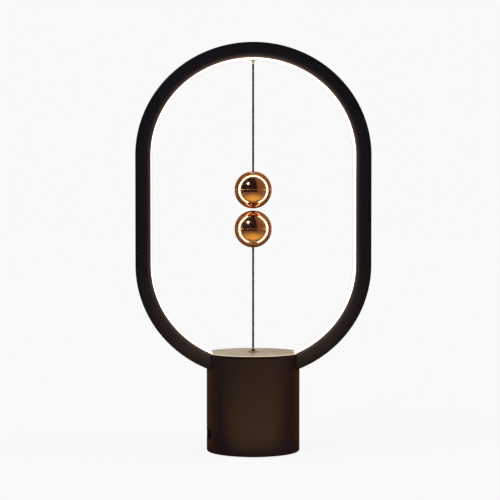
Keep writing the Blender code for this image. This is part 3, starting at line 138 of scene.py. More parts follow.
BASE_RADIUS = turned_ends("base_shell")[2]
BASE_INNER = BASE_RADIUS - BASE_WALL
RING_LOWER_Z = RING_LOW.z + RING_ARC_RISE
RING_UPPER_Z = RING_HIGH.z - RING_ARC_RISE
RING_FRONT = -RING_LOW.y
RING_SCREW_X, RING_SCREW_Y, _ = middle_of("ring_screw_2")
PORT_Z = middle_of("usb_socket_shell")[2]
POST_ORBIT = -middle_of("cover_screw_3")[1]
POSTS = [(a, (POST_ORBIT * cos(a), POST_ORBIT * sin(a))) for a in map(radians, (30.0, 150.0, 270.0))]


class LampSizes(bpy.types.PropertyGroup):
    """Sizes of the fine surfaces"""

    ring_outer_round: bpy.props.FloatProperty(
        name="Ring outer rounding", description="Radius along the ring's outer edges", default=0.9 * MM, unit="LENGTH"
    )
    ring_inner_round: bpy.props.FloatProperty(
        name="Ring inner rounding", description="Radius along the ring's inner edges", default=1.5 * MM, unit="LENGTH"
    )
    base_foot_round: bpy.props.FloatProperty(
        name="Base rounding", description="Radius along the base's lower edge", default=0.9 * MM, unit="LENGTH"
    )
    disc_edge: bpy.props.FloatProperty(
        name="Plate edge", description="Radius along the top plate's edge", default=0.45 * MM, unit="LENGTH"
    )
    ball_seam: bpy.props.FloatProperty(
        name="Ball seam", description="Width of the rounded edges at each ball's seam", default=0.25 * MM, unit="LENGTH"
    )
    braid_depth: bpy.props.FloatProperty(
        name="Braid relief", description="How far the strands stand out of a string", default=0.09 * MM, unit="LENGTH"
    )
    braid_pitch: bpy.props.FloatProperty(
        name="Braid pitch", description="Length of string in which a strand goes round once", default=4.8 * MM,
        unit="LENGTH",
    )


class LampColours(bpy.types.PropertyGroup):
    """Colours of the finishes"""

    ring: bpy.props.FloatVectorProperty(
        name="Ring", description="Dark moulding of the ring", subtype="COLOR", default=(0.0060, 0.0048, 0.0086)
    )
    base: bpy.props.FloatVectorProperty(
        name="Base", description="Dark brown of the base", subtype="COLOR", default=(0.0056, 0.0031, 0.0068)
    )
    copper: bpy.props.FloatVectorProperty(
        name="Copper", description="Plating of the balls", subtype="COLOR", default=(0.90, 0.56, 0.36)
    )
    light: bpy.props.FloatVectorProperty(
        name="Light", description="Colour of the lit strip", subtype="COLOR", default=(1.0, 0.93, 0.84)
    )
    light_strength: bpy.props.FloatProperty(
        name="Light strength", description="Brightness of the lit strip", default=3.5, min=0.0
    )
    string_pale: bpy.props.FloatVectorProperty(
        name="Pale strands", description="Pale strands of the strings", subtype="COLOR", default=(0.170, 0.112, 0.042)
    )
    string_dark: bpy.props.FloatVectorProperty(
        name="Dark strands", description="Dark strands of the strings", subtype="COLOR", default=(0.018, 0.012, 0.005)
    )


# The ring's tones with painted light from the lit strip, as multiples of its colour, from its outer face to its inner
# face, first high up
RING_PAINTED_LIGHT_TONES = (
    (0.0, 0.5, 0.5, 0.8), (0.10, 0.85, 0.85, 0.95), (0.45, 1.0, 1.0, 1.0),
    (0.72, 1.5, 1.4, 1.1), (0.90, 6.5, 6.0, 3.2), (0.965, 32.0, 19.5, 6.5),
    (0.99, 34.0, 24.0, 10.0),
)
# Then near the base, with more painted warm light, brighter on the outer face too
RING_LOW_PAINTED_LIGHT_TONES = (
    (0.0, 1.2, 1.1, 0.9), (0.35, 2.6, 2.3, 1.1), (0.72, 4.5, 4.0, 1.9),
    (0.90, 8.0, 6.8, 3.0), (0.965, 17.0, 12.0, 4.2), (0.99, 22.0, 15.5, 5.5),
)
# The painted highlight along the plate's rounded edge, from the side to the top
RIM_PAINTED_HIGHLIGHT_TONES = ((0.44, 0.72, 0.62, 0.47), (0.95, 0.67, 0.58, 0.44))
STREAK_TONES = ((0.150, 0.100, 0.042), (0.325, 0.226, 0.104))
FINE_GRAIN = 5200
RELIEF_DEPTH = 0.02 * MM

# Each small piece's finish: two near colours, patches per metre, the range of its roughness, grain per metre,
# how strong the grain's relief is, and what else its shader has
TURNED = {"stretch": (1, 1, 6), "Metallic": 1.0}
SMALL_FINISHES = {
    "plain black": ((0.020, 0.020, 0.021), (0.030, 0.029, 0.029), 120, (0.45, 0.6), 3200, 0.3, {}),
    "white moulding": ((0.70, 0.69, 0.66), (0.78, 0.77, 0.74), 90, (0.38, 0.5), 3000, 0.2, {}),
    "turned steel": ((0.50, 0.50, 0.49), (0.64, 0.64, 0.62), 500, (0.22, 0.36), 2600, 0.25, TURNED),
    "turned brass": ((0.66, 0.47, 0.20), (0.78, 0.58, 0.28), 420, (0.18, 0.30), 2600, 0.2, TURNED),
    "tan moulding": ((0.31, 0.212, 0.104), (0.37, 0.260, 0.130), 200, (0.38, 0.5), 3000, 0.2, {}),
    "aged brass": ((0.30, 0.23, 0.14), (0.38, 0.30, 0.19), 420, (0.45, 0.6), 2600, 0.2, {"Metallic": 0.6}),
    "darkened brass": ((0.050, 0.036, 0.022), (0.080, 0.058, 0.036), 420, (0.3, 0.4), 2600, 0.2, {"Metallic": 1.0}),
    "cast iron": ((0.10, 0.10, 0.105), (0.17, 0.165, 0.16), 240, (0.5, 0.7), 1500, 0.6, {"Metallic": 0.8}),
    "nickel plating": ((0.62, 0.61, 0.58), (0.72, 0.71, 0.68), 300, (0.10, 0.18), 2600, 0.1, {"Metallic": 1.0}),
    "black rubber": ((0.014, 0.014, 0.014), (0.024, 0.023, 0.023), 200, (0.6, 0.8), 2600, 0.5, {}),
    "red insulation": ((0.40, 0.015, 0.015), (0.52, 0.03, 0.025), 260, (0.35, 0.5), 3000, 0.2, {}),
    "black insulation": ((0.014, 0.014, 0.015), (0.026, 0.025, 0.026), 260, (0.35, 0.5), 3000, 0.2, {}),
}


# Finishes
def new_finish(name):
    """A new material, its node tree and its shader."""
    material = bpy.data.materials.new(name)
    material.use_nodes = True
    tree = material.node_tree
    return material, tree, tree.nodes["Principled BSDF"]


def feed(node, **values):
    """Sets a node's inputs, or links those given another node's output. in_2 is the input of that number."""
    for key, value in values.items():
        socket = node.inputs[int(key[3:]) if key.startswith("in_") else key.replace("_", " ")]
        if isinstance(value, bpy.types.NodeSocket):
            node.id_data.links.new(value, socket)
        else:
            socket.default_value = value
    return node


def add_node(tree, kind, settings=None, **values):
    """A shader node with its settings and inputs."""
    node = tree.nodes.new(kind)
    for key, value in (settings or {}).items():
        setattr(node, key, value)
    return feed(node, **values)


def maths(operation, *values):
    inputs = {f"in_{number}": value for number, value in enumerate(values)}
    return add_node(values[0].id_data, "ShaderNodeMath", {"operation": operation}, **inputs).outputs[0]


def axes_of(place):
    return add_node(place.id_data, "ShaderNodeSeparateXYZ", in_0=place).outputs


def object_place(tree):
    return add_node(tree, "ShaderNodeTexCoord").outputs["Object"]


def place_pattern(tree, stretch=(1, 1, 1)):
    """Object coordinates, stretched for a grain that runs one way."""
    return add_node(tree, "ShaderNodeMapping", Vector=object_place(tree), Scale=stretch).outputs["Vector"]


def noise_on(place, scale, detail=4.0):
    return add_node(place.id_data, "ShaderNodeTexNoise", Vector=place, Scale=scale, Detail=detail).outputs["Fac"]


def attribute(tree, name):
    return add_node(tree, "ShaderNodeAttribute", {"attribute_name": name}).outputs["Fac"]


def tone_ramp(factor, stops):
    """Colours that follow a value. Each stop holds its place from 0 to 1 and its colour."""
    ramp = add_node(factor.id_data, "ShaderNodeValToRGB", Fac=factor)
    elements = ramp.color_ramp.elements
    elements.remove(elements[1])
    for number, (position, *tone) in enumerate(stops):
        element = elements.new(position) if number else elements[0]
        element.position, element.color = position, (*tone, 1.0)
    return ramp.outputs["Color"]


def blend_colours(factor, first, second, low=0.35, high=0.65):
    """Two colours mixed by a pattern, with the pattern's spread set by its two ends."""
    return tone_ramp(factor, ((low, *first), (high, *second)))


def mixed(factor, first, second, blend_type="MIX"):
    settings = {"data_type": "RGBA", "blend_type": blend_type}
    return add_node(second.id_data, "ShaderNodeMix", settings, Factor=factor, in_6=first, in_7=second).outputs[2]


def ranged(value, from_low, from_high, low=0.0, high=1.0):
    """A value carried from one range to another, and held inside it."""
    node = add_node(value.id_data, "ShaderNodeMapRange", Value=value, From_Min=from_low, From_Max=from_high)
    return feed(node, To_Min=low, To_Max=high).outputs["Result"]


def spread(pattern, low, high):
    """The middle of a pattern's range carried to a range of its own."""
    return ranged(pattern, 0.3, 0.7, low, high)


def emboss(shader, height, strength, distance=RELIEF_DEPTH):
    bump = add_node(shader.id_data, "ShaderNodeBump", Height=height, Strength=strength, Distance=distance)
    feed(shader, Normal=bump.outputs["Normal"])


def shades(colour, *factors):
    """A colour made darker or lighter, once for each factor."""
    return [tuple(channel * factor for channel in colour) for factor in factors]


def surface(name, first, second, patch, rough, grain, relief, stretch=(1, 1, 1), **gloss):
    """Patches of two near colours, an uneven gloss and a fine grain. Patch and grain count per metre."""
    material, tree, shader = new_finish(name)
    place = place_pattern(tree, stretch)
    uneven = spread(noise_on(place, patch * 2.3, 6.0), *rough)
    colour = blend_colours(noise_on(place, patch), first, second)
    feed(shader, Base_Color=colour, Roughness=uneven, **gloss)
    emboss(shader, noise_on(place, grain, 3.0), relief)
    return material


def base_moulding():
    """Dark brown satin moulding with a fine even grain."""
    colour = bpy.context.scene.lamp_colours.base
    return surface(
        "dark brown base moulding", *shades(colour, 0.93, 1.08), 60, (0.38, 0.46), FINE_GRAIN, 0.25,
        Specular_IOR_Level=0.98, Specular_Tint=(1.0, 0.84, 1.0, 1.0),
    )


def lit_strip():
    """The milky strip, lit from behind and dimmer towards its two edges."""
    colours = bpy.context.scene.lamp_colours
    material, tree, shader = new_finish("lit milky strip")
    place = place_pattern(tree)
    across = ranged(maths("ABSOLUTE", axes_of(place)["Y"]), 0.0, STRIP_HIGH.y)
    glow = blend_colours(across, *shades(colours.light, 1.0, 0.25), 0.25, 1.0)
    milk = blend_colours(noise_on(place, 90), (0.86, 0.83, 0.78), (0.92, 0.90, 0.86))
    feed(shader, Base_Color=milk, Roughness=0.45, Emission_Color=glow, Emission_Strength=colours.light_strength)
    emboss(shader, noise_on(place, 3000), 0.1, 0.01 * MM)
    return material


def copper_plating(name, haze_from):
    """Bright plating: a mirror with fine hazy specks and hairline marks. A lower haze_from makes more of it hazy."""
    colour = bpy.context.scene.lamp_colours.copper
    material, tree, shader = new_finish(name)
    place = place_pattern(tree)
    tint = blend_colours(noise_on(place, 110), *shades(colour, 0.96, 1.03))
    haze = ranged(noise_on(place, 15000, 2.0), haze_from, haze_from + 0.15, 0.05, 0.28)
    feed(shader, Base_Color=tint, Metallic=1.0, Roughness=haze, Specular_Tint=(0.62, 0.40, 0.26, 1.0))
    feed(shader, Coat_Weight=1.0, Coat_Roughness=0.05)
    emboss(shader, noise_on(place_pattern(tree, (1, 1, 14)), 900), 0.02, 0.004 * MM)
    return material


def ring_moulding():
    """Near black on the outside, with painted light that grows brighter and warmer towards the lit inner side, and more
    painted warm light towards the base.
    """
    colour = bpy.context.scene.lamp_colours.ring
    material, tree, shader = new_finish("dark ring moulding")
    place = place_pattern(tree)
    depth = attribute(tree, "depth")
    # Painted light: the tones brighten and warm towards the lit inner face, more so near the base
    high, low = (
        tone_ramp(depth, [(position, *(c * t for c, t in zip(colour, tone))) for position, *tone in stops])
        for stops in (RING_PAINTED_LIGHT_TONES, RING_LOW_PAINTED_LIGHT_TONES)
    )
    tones = mixed(ranged(axes_of(place)["Z"], RING_LOWER_Z, DISC_HIGH.z), high, low)
    patches = blend_colours(noise_on(place, 60), (0.92,) * 3, (1.0,) * 3)
    rough = spread(noise_on(place, 140, 6.0), 0.38, 0.46)
    feed(shader, Base_Color=mixed(1.0, tones, patches, "MULTIPLY"), Roughness=rough, Specular_IOR_Level=0.3)
    emboss(shader, noise_on(place, FINE_GRAIN, 3.0), 0.25)
    return material


def plate_finish():
    """Satin tan on the top, a painted highlight on the rounded edge and dark on the side."""
    material, tree, shader = new_finish("satin top plate")
    place = place_pattern(tree, (0.3, 1, 1))
    streaks = blend_colours(noise_on(place, 130, 5.0), *STREAK_TONES)
    edge, dark = bpy.context.scene.lamp_sizes.disc_edge, bpy.context.scene.lamp_colours.base
    height = ranged(axes_of(place)["Z"], DISC_HIGH.z - 1.5 * edge, DISC_HIGH.z)
    # Painted highlight along the rounded edge, between the dark side and the tan top
    painted_rim_highlight = tone_ramp(height, ((0.38, *dark), *RIM_PAINTED_HIGHLIGHT_TONES))
    colour = mixed(maths("GREATER_THAN", height, 0.97), painted_rim_highlight, streaks)
    feed(shader, Base_Color=colour, Roughness=spread(noise_on(place, 300), 0.34, 0.42))
    emboss(shader, noise_on(place, FINE_GRAIN, 3.0), 0.25)
    return material


def braided_string_finish():
    """Pale and dark strands, told apart by the string's own attribute, with fibres and darker stretches."""
    colours = bpy.context.scene.lamp_colours
    material, tree, shader = new_finish("braided string")
    fibres = noise_on(place_pattern(tree, (1, 1, 0.4)), FINE_GRAIN, 5.0)
    pale = blend_colours(fibres, *shades(colours.string_pale, 0.62, 1.25))
    dark = blend_colours(fibres, *shades(colours.string_dark, 0.7, 1.5))
    worn = blend_colours(noise_on(place_pattern(tree), 520, 3.0), (0.20,) * 3, (1.0,) * 3, 0.40, 0.64)
    strands = mixed(attribute(tree, "strand"), pale, dark)
    feed(shader, Base_Color=mixed(1.0, strands, worn, "MULTIPLY"), Roughness=0.75, Specular_IOR_Level=0.15)
    emboss(shader, fibres, 0.3, 0.03 * MM)
    return material


def circuit_finish():
    """Green lacquer over fine copper tracks."""
    material, tree, shader = new_finish("green circuit board")
    place = place_pattern(tree)
    tracks = add_node(
        tree, "ShaderNodeTexBrick", Vector=place, Scale=170.0, Mortar_Size=0.03, Color1=(0.012, 0.11, 0.05, 1),
        Color2=(0.016, 0.13, 0.06, 1), Mortar=(0.10, 0.22, 0.08, 1),
    ).outputs
    feed(shader, Base_Color=tracks["Color"], Roughness=spread(noise_on(place, 300), 0.28, 0.42))
    emboss(shader, tracks["Fac"], 0.15, 0.03 * MM)
    return material


def small_finish(kind):
    """The finish of a small piece, made once."""
    *looks, gloss = SMALL_FINISHES[kind]
    return bpy.data.materials.get(kind) or surface(kind, *looks, **gloss)


# Modelling helpers
def leave_edit():
    bpy.ops.object.mode_set(mode="OBJECT")


def edit_all():
    """Opens the active piece in edit mode, with all of it selected."""
    bpy.ops.object.mode_set(mode="EDIT")
    bpy.ops.mesh.select_all(action="SELECT")


def start_piece():
    """Leaves edit mode and deselects everything, so that an operator acts on the new piece alone."""
    if bpy.context.object and bpy.context.object.mode != "OBJECT":
        leave_edit()
    bpy.ops.object.select_all(action="DESELECT")


def take_up(piece):
    start_piece()
    piece.hide_viewport = False
    piece.select_set(True)
    bpy.context.view_layer.objects.active = piece


def named(name):
    """The piece just made, with its name."""
    bpy.context.object.name = name
    return bpy.context.object


def step_along(shift):
    bpy.ops.mesh.extrude_region_move(TRANSFORM_OT_translate={"value": shift})


def close_loops(piece, ring):
    """Joins the first loop to the last, or fills both ends of a solid piece."""
    bpy.ops.mesh.select_all(action="DESELECT")
    bpy.ops.mesh.select_non_manifold()
    if ring:
        bpy.ops.mesh.bridge_edge_loops()
    else:
        bpy.ops.mesh.fill_holes(sides=0)
    bpy.ops.mesh.select_all(action="SELECT")
    bpy.ops.mesh.normals_make_consistent()
    leave_edit()
    return piece


def hold_flats(outline, closed, margin=0.05 * MM, longest=0.8 * MM):
    """Adds points close to both ends of each long stretch, so that its flat face shades flat."""
    points = []
    for (a, b), (c, d) in zip(outline, outline[1:] + outline[:1]):
        points.append((a, b))
        length = hypot(c - a, d - b)
        if length > longest and (closed or (c, d) != outline[0]):
            share = margin / length
            points += [(a + (c - a) * share, b + (d - b) * share), (c - (c - a) * share, d - (d - b) * share)]
    return points


def rounded(centre, radius, start, end, steps, stretch=1.0):
    """Points on a rounded corner, in degrees from the first axis, stretched along that axis where asked."""
    angles = [radians(start + (end - start) * step / steps) for step in range(steps + 1)]
    return [(centre[0] + radius * stretch * cos(a), centre[1] + radius * sin(a)) for a in angles]


def turned_side(radius, top, top_edge, low, low_edge, steps=(3, 3)):
    """A turned piece's side, from its rounded upper edge to its rounded lower edge."""
    upper = rounded((radius - top_edge, top - top_edge), top_edge, 90, 0, steps[0])
    return upper + rounded((radius - low_edge, low + low_edge), low_edge, 0, -90, steps[1])


def turn_piece(name, outline, segments=128, ring=True):
    """A turned piece: a circle extruded along an outline of (radius, height) pairs."""
    outline = hold_flats(outline, ring)
    start_piece()
    radius, height = outline[0]
    bpy.ops.mesh.primitive_circle_add(vertices=segments, radius=radius)
    piece = named(name)
    edit_all()
    bpy.ops.transform.translate(value=(0, 0, height))
    for (old_radius, old_height), (radius, height) in zip(outline, outline[1:]):
        step_along((0, 0, height - old_height))
        share = radius / old_radius
        bpy.ops.transform.resize(value=(share, share, 1), center_override=(0, 0, height))
    return close_loops(piece, ring)


def choose_points(piece, test):
    """Selects the points that pass a test, and the edges between them."""
    bpy.ops.mesh.select_all(action="DESELECT")
    mesh = bmesh.from_edit_mesh(piece.data)
    for point in mesh.verts:
        point.select = test(point)
    mesh.select_flush_mode()
    bmesh.update_edit_mesh(piece.data)


def ring_piece(name, outline, segments=176):
    """A piece swept round the ring: a loop extruded along (depth below the outer face, y) pairs.

    Each step resizes the loop's upper and lower half, each about its own centre.
    """
    outline = hold_flats(outline, True)
    start_piece()
    bpy.ops.mesh.primitive_circle_add(vertices=segments, rotation=(pi / 2, pi / segments, 0))
    piece = named(name)
    bpy.ops.object.transform_apply()
    edit_all()
    bpy.ops.mesh.select_mode(type="VERT")
    depth, y = outline[0]
    bpy.ops.transform.resize(value=(RING_HIGH.x - depth, 1, RING_ARC_RISE - depth), center_override=(0, 0, 0))
    bpy.ops.transform.translate(value=(0, y, RING_LOWER_Z))
    choose_points(piece, lambda point: point.co.z > RING_LOWER_Z)
    bpy.ops.transform.translate(value=(0, 0, RING_UPPER_Z - RING_LOWER_Z))
    bpy.ops.mesh.select_all(action="SELECT")
    middle = (RING_LOWER_Z + RING_UPPER_Z) / 2
    for (old_depth, old_y), (depth, y) in zip(outline, outline[1:]):
        step_along((0, y - old_y, 0))
        mesh = bmesh.from_edit_mesh(piece.data)
        fresh = {point.index for point in mesh.verts if point.select}
        width_share = (RING_HIGH.x - depth) / (RING_HIGH.x - old_depth)
        rise_share = (RING_ARC_RISE - depth) / (RING_ARC_RISE - old_depth)
        for centre_z, upper in ((RING_UPPER_Z, True), (RING_LOWER_Z, False)):
            choose_points(piece, lambda point: point.index in fresh and (point.co.z > middle) == upper)
            bpy.ops.transform.resize(value=(width_share, 1, rise_share), center_override=(0, y, centre_z))
        choose_points(piece, lambda point: point.index in fresh)
    return close_loops(piece, True)


def apply_modifier(piece, kind, **settings):
    take_up(piece)
    modifier = piece.modifiers.new("step", kind)
    for key, value in settings.items():
        setattr(modifier, key, value)
    bpy.ops.object.modifier_apply(modifier=modifier.name)


def carve(piece, *tools, operation="DIFFERENCE"):
    """Cuts tools from a piece, or adds them to it, and throws the tools away."""
    for tool in tools:
        apply_modifier(piece, "BOOLEAN", operation=operation, solver="EXACT", object=tool)
        bpy.data.objects.remove(tool)


def peg(radius, place, low, high, sides=32):
    """A round tool from one height to another."""
    start_piece()
    bpy.ops.mesh.primitive_cylinder_add(
        vertices=sides, radius=radius, depth=high - low, location=(*place, (low + high) / 2)
    )
    return bpy.context.object


def brick(low, high, edge=0.0):
    """A box tool between two corners, with its edges rounded where an edge is given."""
    start_piece()
    low, high = Vector(low), Vector(high)
    bpy.ops.mesh.primitive_cube_add(size=1.0, location=(low + high) / 2, scale=high - low)
    piece = bpy.context.object
    bpy.ops.object.transform_apply()
    if edge:
        apply_modifier(piece, "BEVEL", width=edge, segments=3)
    return piece


def ring_tool():
    """The ring's outside grown by its clearance, for cutting what it passes through."""
    side, low, high = RING_FRONT + CLEARANCE, -CLEARANCE, RING_THICKNESS + CLEARANCE
    return ring_piece("ring_tool", [(low, -side), (high, -side), (high, side), (low, side)])


def port_tool():
    """A slot with round ends, turned to face the way the port does."""
    start_piece()
    radius = PORT_HEIGHT / 2
    low_x, high_x = -BASE_RADIUS - 2 * MM, -BASE_INNER + BASE_WALL
    bpy.ops.mesh.primitive_cylinder_add(
        vertices=48, radius=radius, depth=high_x - low_x, rotation=(0, pi / 2, 0),
        location=((low_x + high_x) / 2, 0, PORT_Z),
    )
    piece = bpy.context.object
    bpy.ops.object.transform_apply()
    edit_all()
    bpy.ops.mesh.select_mode(type="VERT")
    for side in (-1, 1):
        choose_points(piece, lambda point: point.co.y * side > 1e-7)
        bpy.ops.transform.translate(value=(0, side * (PORT_WIDTH / 2 - radius), 0))
    leave_edit()
    piece.rotation_euler = (0, 0, PORT_TURN)
    bpy.ops.object.transform_apply()
    return piece


def hand_over(piece, body, nodes, finish, smooth_angle=38.0):
    """Gives a finished piece its material and its place among the bodies, and hides the nodes it stands for."""
    take_up(piece)
    bpy.ops.object.transform_apply()
    bpy.ops.object.shade_smooth_by_angle(angle=radians(smooth_angle))
    piece.data.materials.clear()
    piece.data.materials.append(finish)
    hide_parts(*nodes)
    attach(piece, body)


def merged_copy(node, edge):
    """A node's own mesh, copied, merged to clean faces, and given small rounded edges."""
    piece = frame["nodes"][node].copy()
    piece.data = piece.data.copy()
    for key in list(piece.keys()):
        del piece[key]
    piece.parent = None
    piece.name = node + "_dressed"
    bpy.context.scene.collection.objects.link(piece)
    take_up(piece)
    if piece.data.has_custom_normals:
        bpy.ops.mesh.customdata_custom_splitnormals_clear()
    edit_all()
    bpy.ops.mesh.remove_doubles(threshold=0.002 * MM)
    bpy.ops.mesh.dissolve_limited(angle_limit=radians(0.5))
    leave_edit()
    if edge:
        limit = radians(45.0)
        apply_modifier(piece, "BEVEL", width=edge, segments=2, limit_method="ANGLE", angle_limit=limit)
    return piece


# The stage. FLOOR_CALM is how much of the floor's own shading is left out where it is seen, and TENT_OPENING the
# degrees that the tent is open on each side of straight back. The tones of the painted pool of light and the painted
# shade on the floor run from its middle outwards, and the tent's from straight back over left, front and right.
CAMERA_PLACE = (-0.027, -0.890, 0.1366)
CAMERA_DROP = radians(1.565)
CAMERA_TURN = radians(-1.626)
CAMERA_LENS = 115.3
PALE = (0.947, 0.947, 0.947, 1.0)
SOFT_LIGHT = 0.45
BROAD_LAMPS = (("soft front lamp", (-0.5, -0.6, 0.9), 1.35), ("soft side lamp", (0.7, -0.2, 1.0), 0.90))
BROAD_SPREAD = radians(40.0)
ROUND_LAMP_PLACE = (-0.151, -0.186, 0.324)
ROUND_LAMP_TARGET = (0.0, 0.0, 0.135)
ROUND_LAMP_SIZE = 0.042
ROUND_LAMP_POWER = 0.062
FLOOR_SIZE = 12.0
FLOOR_CALM = 0.93
POOL_REACH = 0.5
POOL_SHAPE = {"Location": (0.0, 0.05, 0.0), "Scale": (1.2, 1.0, 1.0)}
POOL_EDGE = (-0.040, -0.055)
# Painted pool of light on the floor in front of the lamp, seen only in gloss
PAINTED_POOL_TONES = (
    (0.0, 0.94, 0.568, 0.125), (0.10, 0.9, 0.549, 0.117), (0.25, 0.7, 0.441, 0.094),
    (0.45, 0.38, 0.206, 0.07), (0.62, 0.26, 0.147, 0.07), (0.85, 0.2, 0.118, 0.07),
    (1.0, 0.18, 0.108, 0.07),
)
# Painted shade on the floor behind the lamp, seen only in gloss
PAINTED_SHADE_BEHIND = ((0.17, 0.09, 0.038, 0.016), (0.28, 0.18, 0.080, 0.022), (1.0, 0.14, 0.060, 0.020))
TENT_SIZE = (0.60, 0.60, 0.80)
TENT_OPENING = 6.0
TENT_TONES = (
    (0.0, 0.38, 0.167, 0.039), (0.07, 0.18, 0.078, 0.02), (0.12, 0.34, 0.147, 0.035),
    (0.145, 0.34, 0.147, 0.035), (0.165, 0.018, 0.009, 0.009), (0.565, 0.018, 0.009, 0.011),
    (0.577, 0.23, 0.108, 0.055), (0.745, 0.21, 0.098, 0.047), (0.76, 0.028, 0.014, 0.009),
    (0.835, 0.028, 0.014, 0.009), (0.855, 0.33, 0.142, 0.035), (1.0, 0.38, 0.167, 0.039),
)


def stand(data, place, rotation):
    """Puts a camera or a lamp in its place."""
    holder = bpy.data.objects.new(data.name, data)
    holder.location, holder.rotation_euler = place, rotation
    bpy.context.scene.collection.objects.link(holder)
    return holder


def add_camera():
    camera = bpy.data.cameras.new("camera")
    camera.lens, camera.sensor_width, camera.clip_start = CAMERA_LENS, 36.0, 0.01
    bpy.context.scene.camera = stand(camera, CAMERA_PLACE, (pi / 2 - CAMERA_DROP, 0, CAMERA_TURN))


def seen_factor(tree):
    """One for rays from the camera, and for those that metal and glass mirror or pass."""
    rays = add_node(tree, "ShaderNodeLightPath").outputs
    seen = maths("MAXIMUM", rays["Is Camera Ray"], rays["Is Glossy Ray"])
    return maths("MAXIMUM", seen, rays["Is Transmission Ray"])


def show_mix(output, factor, first, second):
    """Shows two shaders mixed by a factor."""
    tree = output.id_data
    mix = add_node(tree, "ShaderNodeMixShader", in_0=factor, in_1=first.outputs[0], in_2=second.outputs[0])
    feed(output, Surface=mix.outputs[0])


def add_world():
    world = bpy.data.worlds.new("pale studio")
    bpy.context.scene.world = world
    world.use_nodes = True
    tree = world.node_tree
    soft = feed(tree.nodes["Background"], Color=(1.0, 1.0, 1.0, 1.0), Strength=SOFT_LIGHT)
    seen = add_node(tree, "ShaderNodeBackground", Color=PALE, Strength=1.0)
    show_mix(tree.nodes["World Output"], seen_factor(tree), soft, seen)


def painted_light_pool(tree):
    """A painted pool of light in front of the lamp and painted shade on the floor behind it, seen only where gloss
    mirrors them.
    """
    place = object_place(tree)
    middle = add_node(tree, "ShaderNodeMapping", Vector=place, **POOL_SHAPE)
    reach = add_node(tree, "ShaderNodeVectorMath", {"operation": "LENGTH"}, in_0=middle.outputs["Vector"])
    share = ranged(reach.outputs["Value"], 0.0, POOL_REACH)
    front = ranged(axes_of(place)["Y"], *POOL_EDGE)
    return mixed(front, tone_ramp(share, PAINTED_SHADE_BEHIND), tone_ramp(share, PAINTED_POOL_TONES))


def add_floor():
    """The pale floor. It keeps the lamp's shadow, and gloss mirrors a painted pool of light and painted shade in it."""
    start_piece()
    bpy.ops.mesh.primitive_plane_add(size=FLOOR_SIZE)
    ground = named("floor")
    material, tree, shader = new_finish("pale floor")
    feed(shader, Base_Color=PALE, Roughness=0.9, Specular_IOR_Level=0.0)
    mirrored = add_node(tree, "ShaderNodeLightPath").outputs["Is Glossy Ray"]
    # Gloss sees the painted pool of light and painted shade; camera rays see the pale floor
    tone = mixed(mirrored, PALE, painted_light_pool(tree))
    glow = add_node(tree, "ShaderNodeEmission", Color=tone, Strength=1.0)
    share = maths("MAXIMUM", maths("MULTIPLY", seen_factor(tree), FLOOR_CALM), mirrored)
    show_mix(tree.nodes["Material Output"], share, shader, glow)
    ground.data.materials.append(material)


def stand_lamp(light, place, target=(0, 0, 0)):
    """Puts a lamp in its place, turned to its target."""
    return stand(light, place, (Vector(place) - Vector(target)).to_track_quat("Z", "Y").to_euler())


def add_lamps():
    """Two broad lamps far away, for the same light on the whole floor, and a small round one for the glints."""
    for name, place, power in BROAD_LAMPS:
        light = bpy.data.lights.new(name, "SUN")
        light.energy, light.angle = power, BROAD_SPREAD
        stand_lamp(light, place).visible_glossy = False
    light = bpy.data.lights.new("round lamp", "AREA")
    light.shape = "DISK"
    light.size, light.energy = ROUND_LAMP_SIZE, ROUND_LAMP_POWER
    stand_lamp(light, ROUND_LAMP_PLACE, ROUND_LAMP_TARGET)


def add_tent():
    """A dim tent that only gloss mirrors, open at the back to the pale studio."""
    start_piece()
    bpy.ops.mesh.primitive_uv_sphere_add(segments=64, ring_count=32)
    tent = named("dim_tent")
    tent.scale = TENT_SIZE
    bpy.ops.object.transform_apply()
    edit_all()
    bpy.ops.mesh.bisect(plane_co=(0, 0, 0.5 * MM), plane_no=(0, 0, 1), clear_inner=True)
    leave_edit()
    material, tree, _ = new_finish("dim tent")
    axes = axes_of(object_place(tree))
    turn = maths("ARCTAN2", axes["X"], maths("MULTIPLY", axes["Y"], -1.0))
    share = ranged(turn, -pi, pi)
    glow = add_node(tree, "ShaderNodeEmission", Color=tone_ramp(share, TENT_TONES), Strength=1.0)
    clear = add_node(tree, "ShaderNodeBsdfTransparent")
    closed = maths("COMPARE", share, 0.5, 0.5 - TENT_OPENING / 360.0)
    show_mix(tree.nodes["Material Output"], closed, clear, glow)
    tent.data.materials.append(material)
    tent.visible_camera = tent.visible_diffuse = tent.visible_shadow = False
    tent.visible_transmission = tent.visible_volume_scatter = False


# Operators, one for each piece or group
class BALANCE_LAMP_OT_stage(bpy.types.Operator):
    """Make the camera, the lamps, the pale floor and the tent that gloss mirrors"""

    bl_idname = "balance_lamp.stage"
    bl_label = "Stage"

    def execute(self, context):
        add_camera()
        add_world()
        add_floor()
        add_lamps()
        add_tent()
        return {"FINISHED"}


class BALANCE_LAMP_OT_strings(bpy.types.Operator):
    """Make the two braided strings"""

    bl_idname = "balance_lamp.strings"
    bl_label = "Strings"

    def execute(self, context):
        finish = braided_string_finish()
        upper = braid("upper_string", *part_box("upper_cord"))
        hand_over(upper, "upper_ball", ["upper_cord"], finish, 60.0)
        low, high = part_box("lower_cord")
        lower = braid("lower_string", low, high)
        hand_over(lower, "lower_string", ["lower_cord"], finish, 60.0)
        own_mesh(lower)
        return {"FINISHED"}


def braid_height(around, along):
    """The relief of a braid, from 0 to 1, and which way the strand on top runs."""
    one, other = around + along, around - along
    over = (floor(one) + floor(other)) % 2
    across, down = (one % 1.0, other % 1.0) if over else (other % 1.0, one % 1.0)
    rise = sin(pi * across) ** 0.6
    dip = 0.75 + 0.25 * sin(pi * down)
    return rise * dip, over


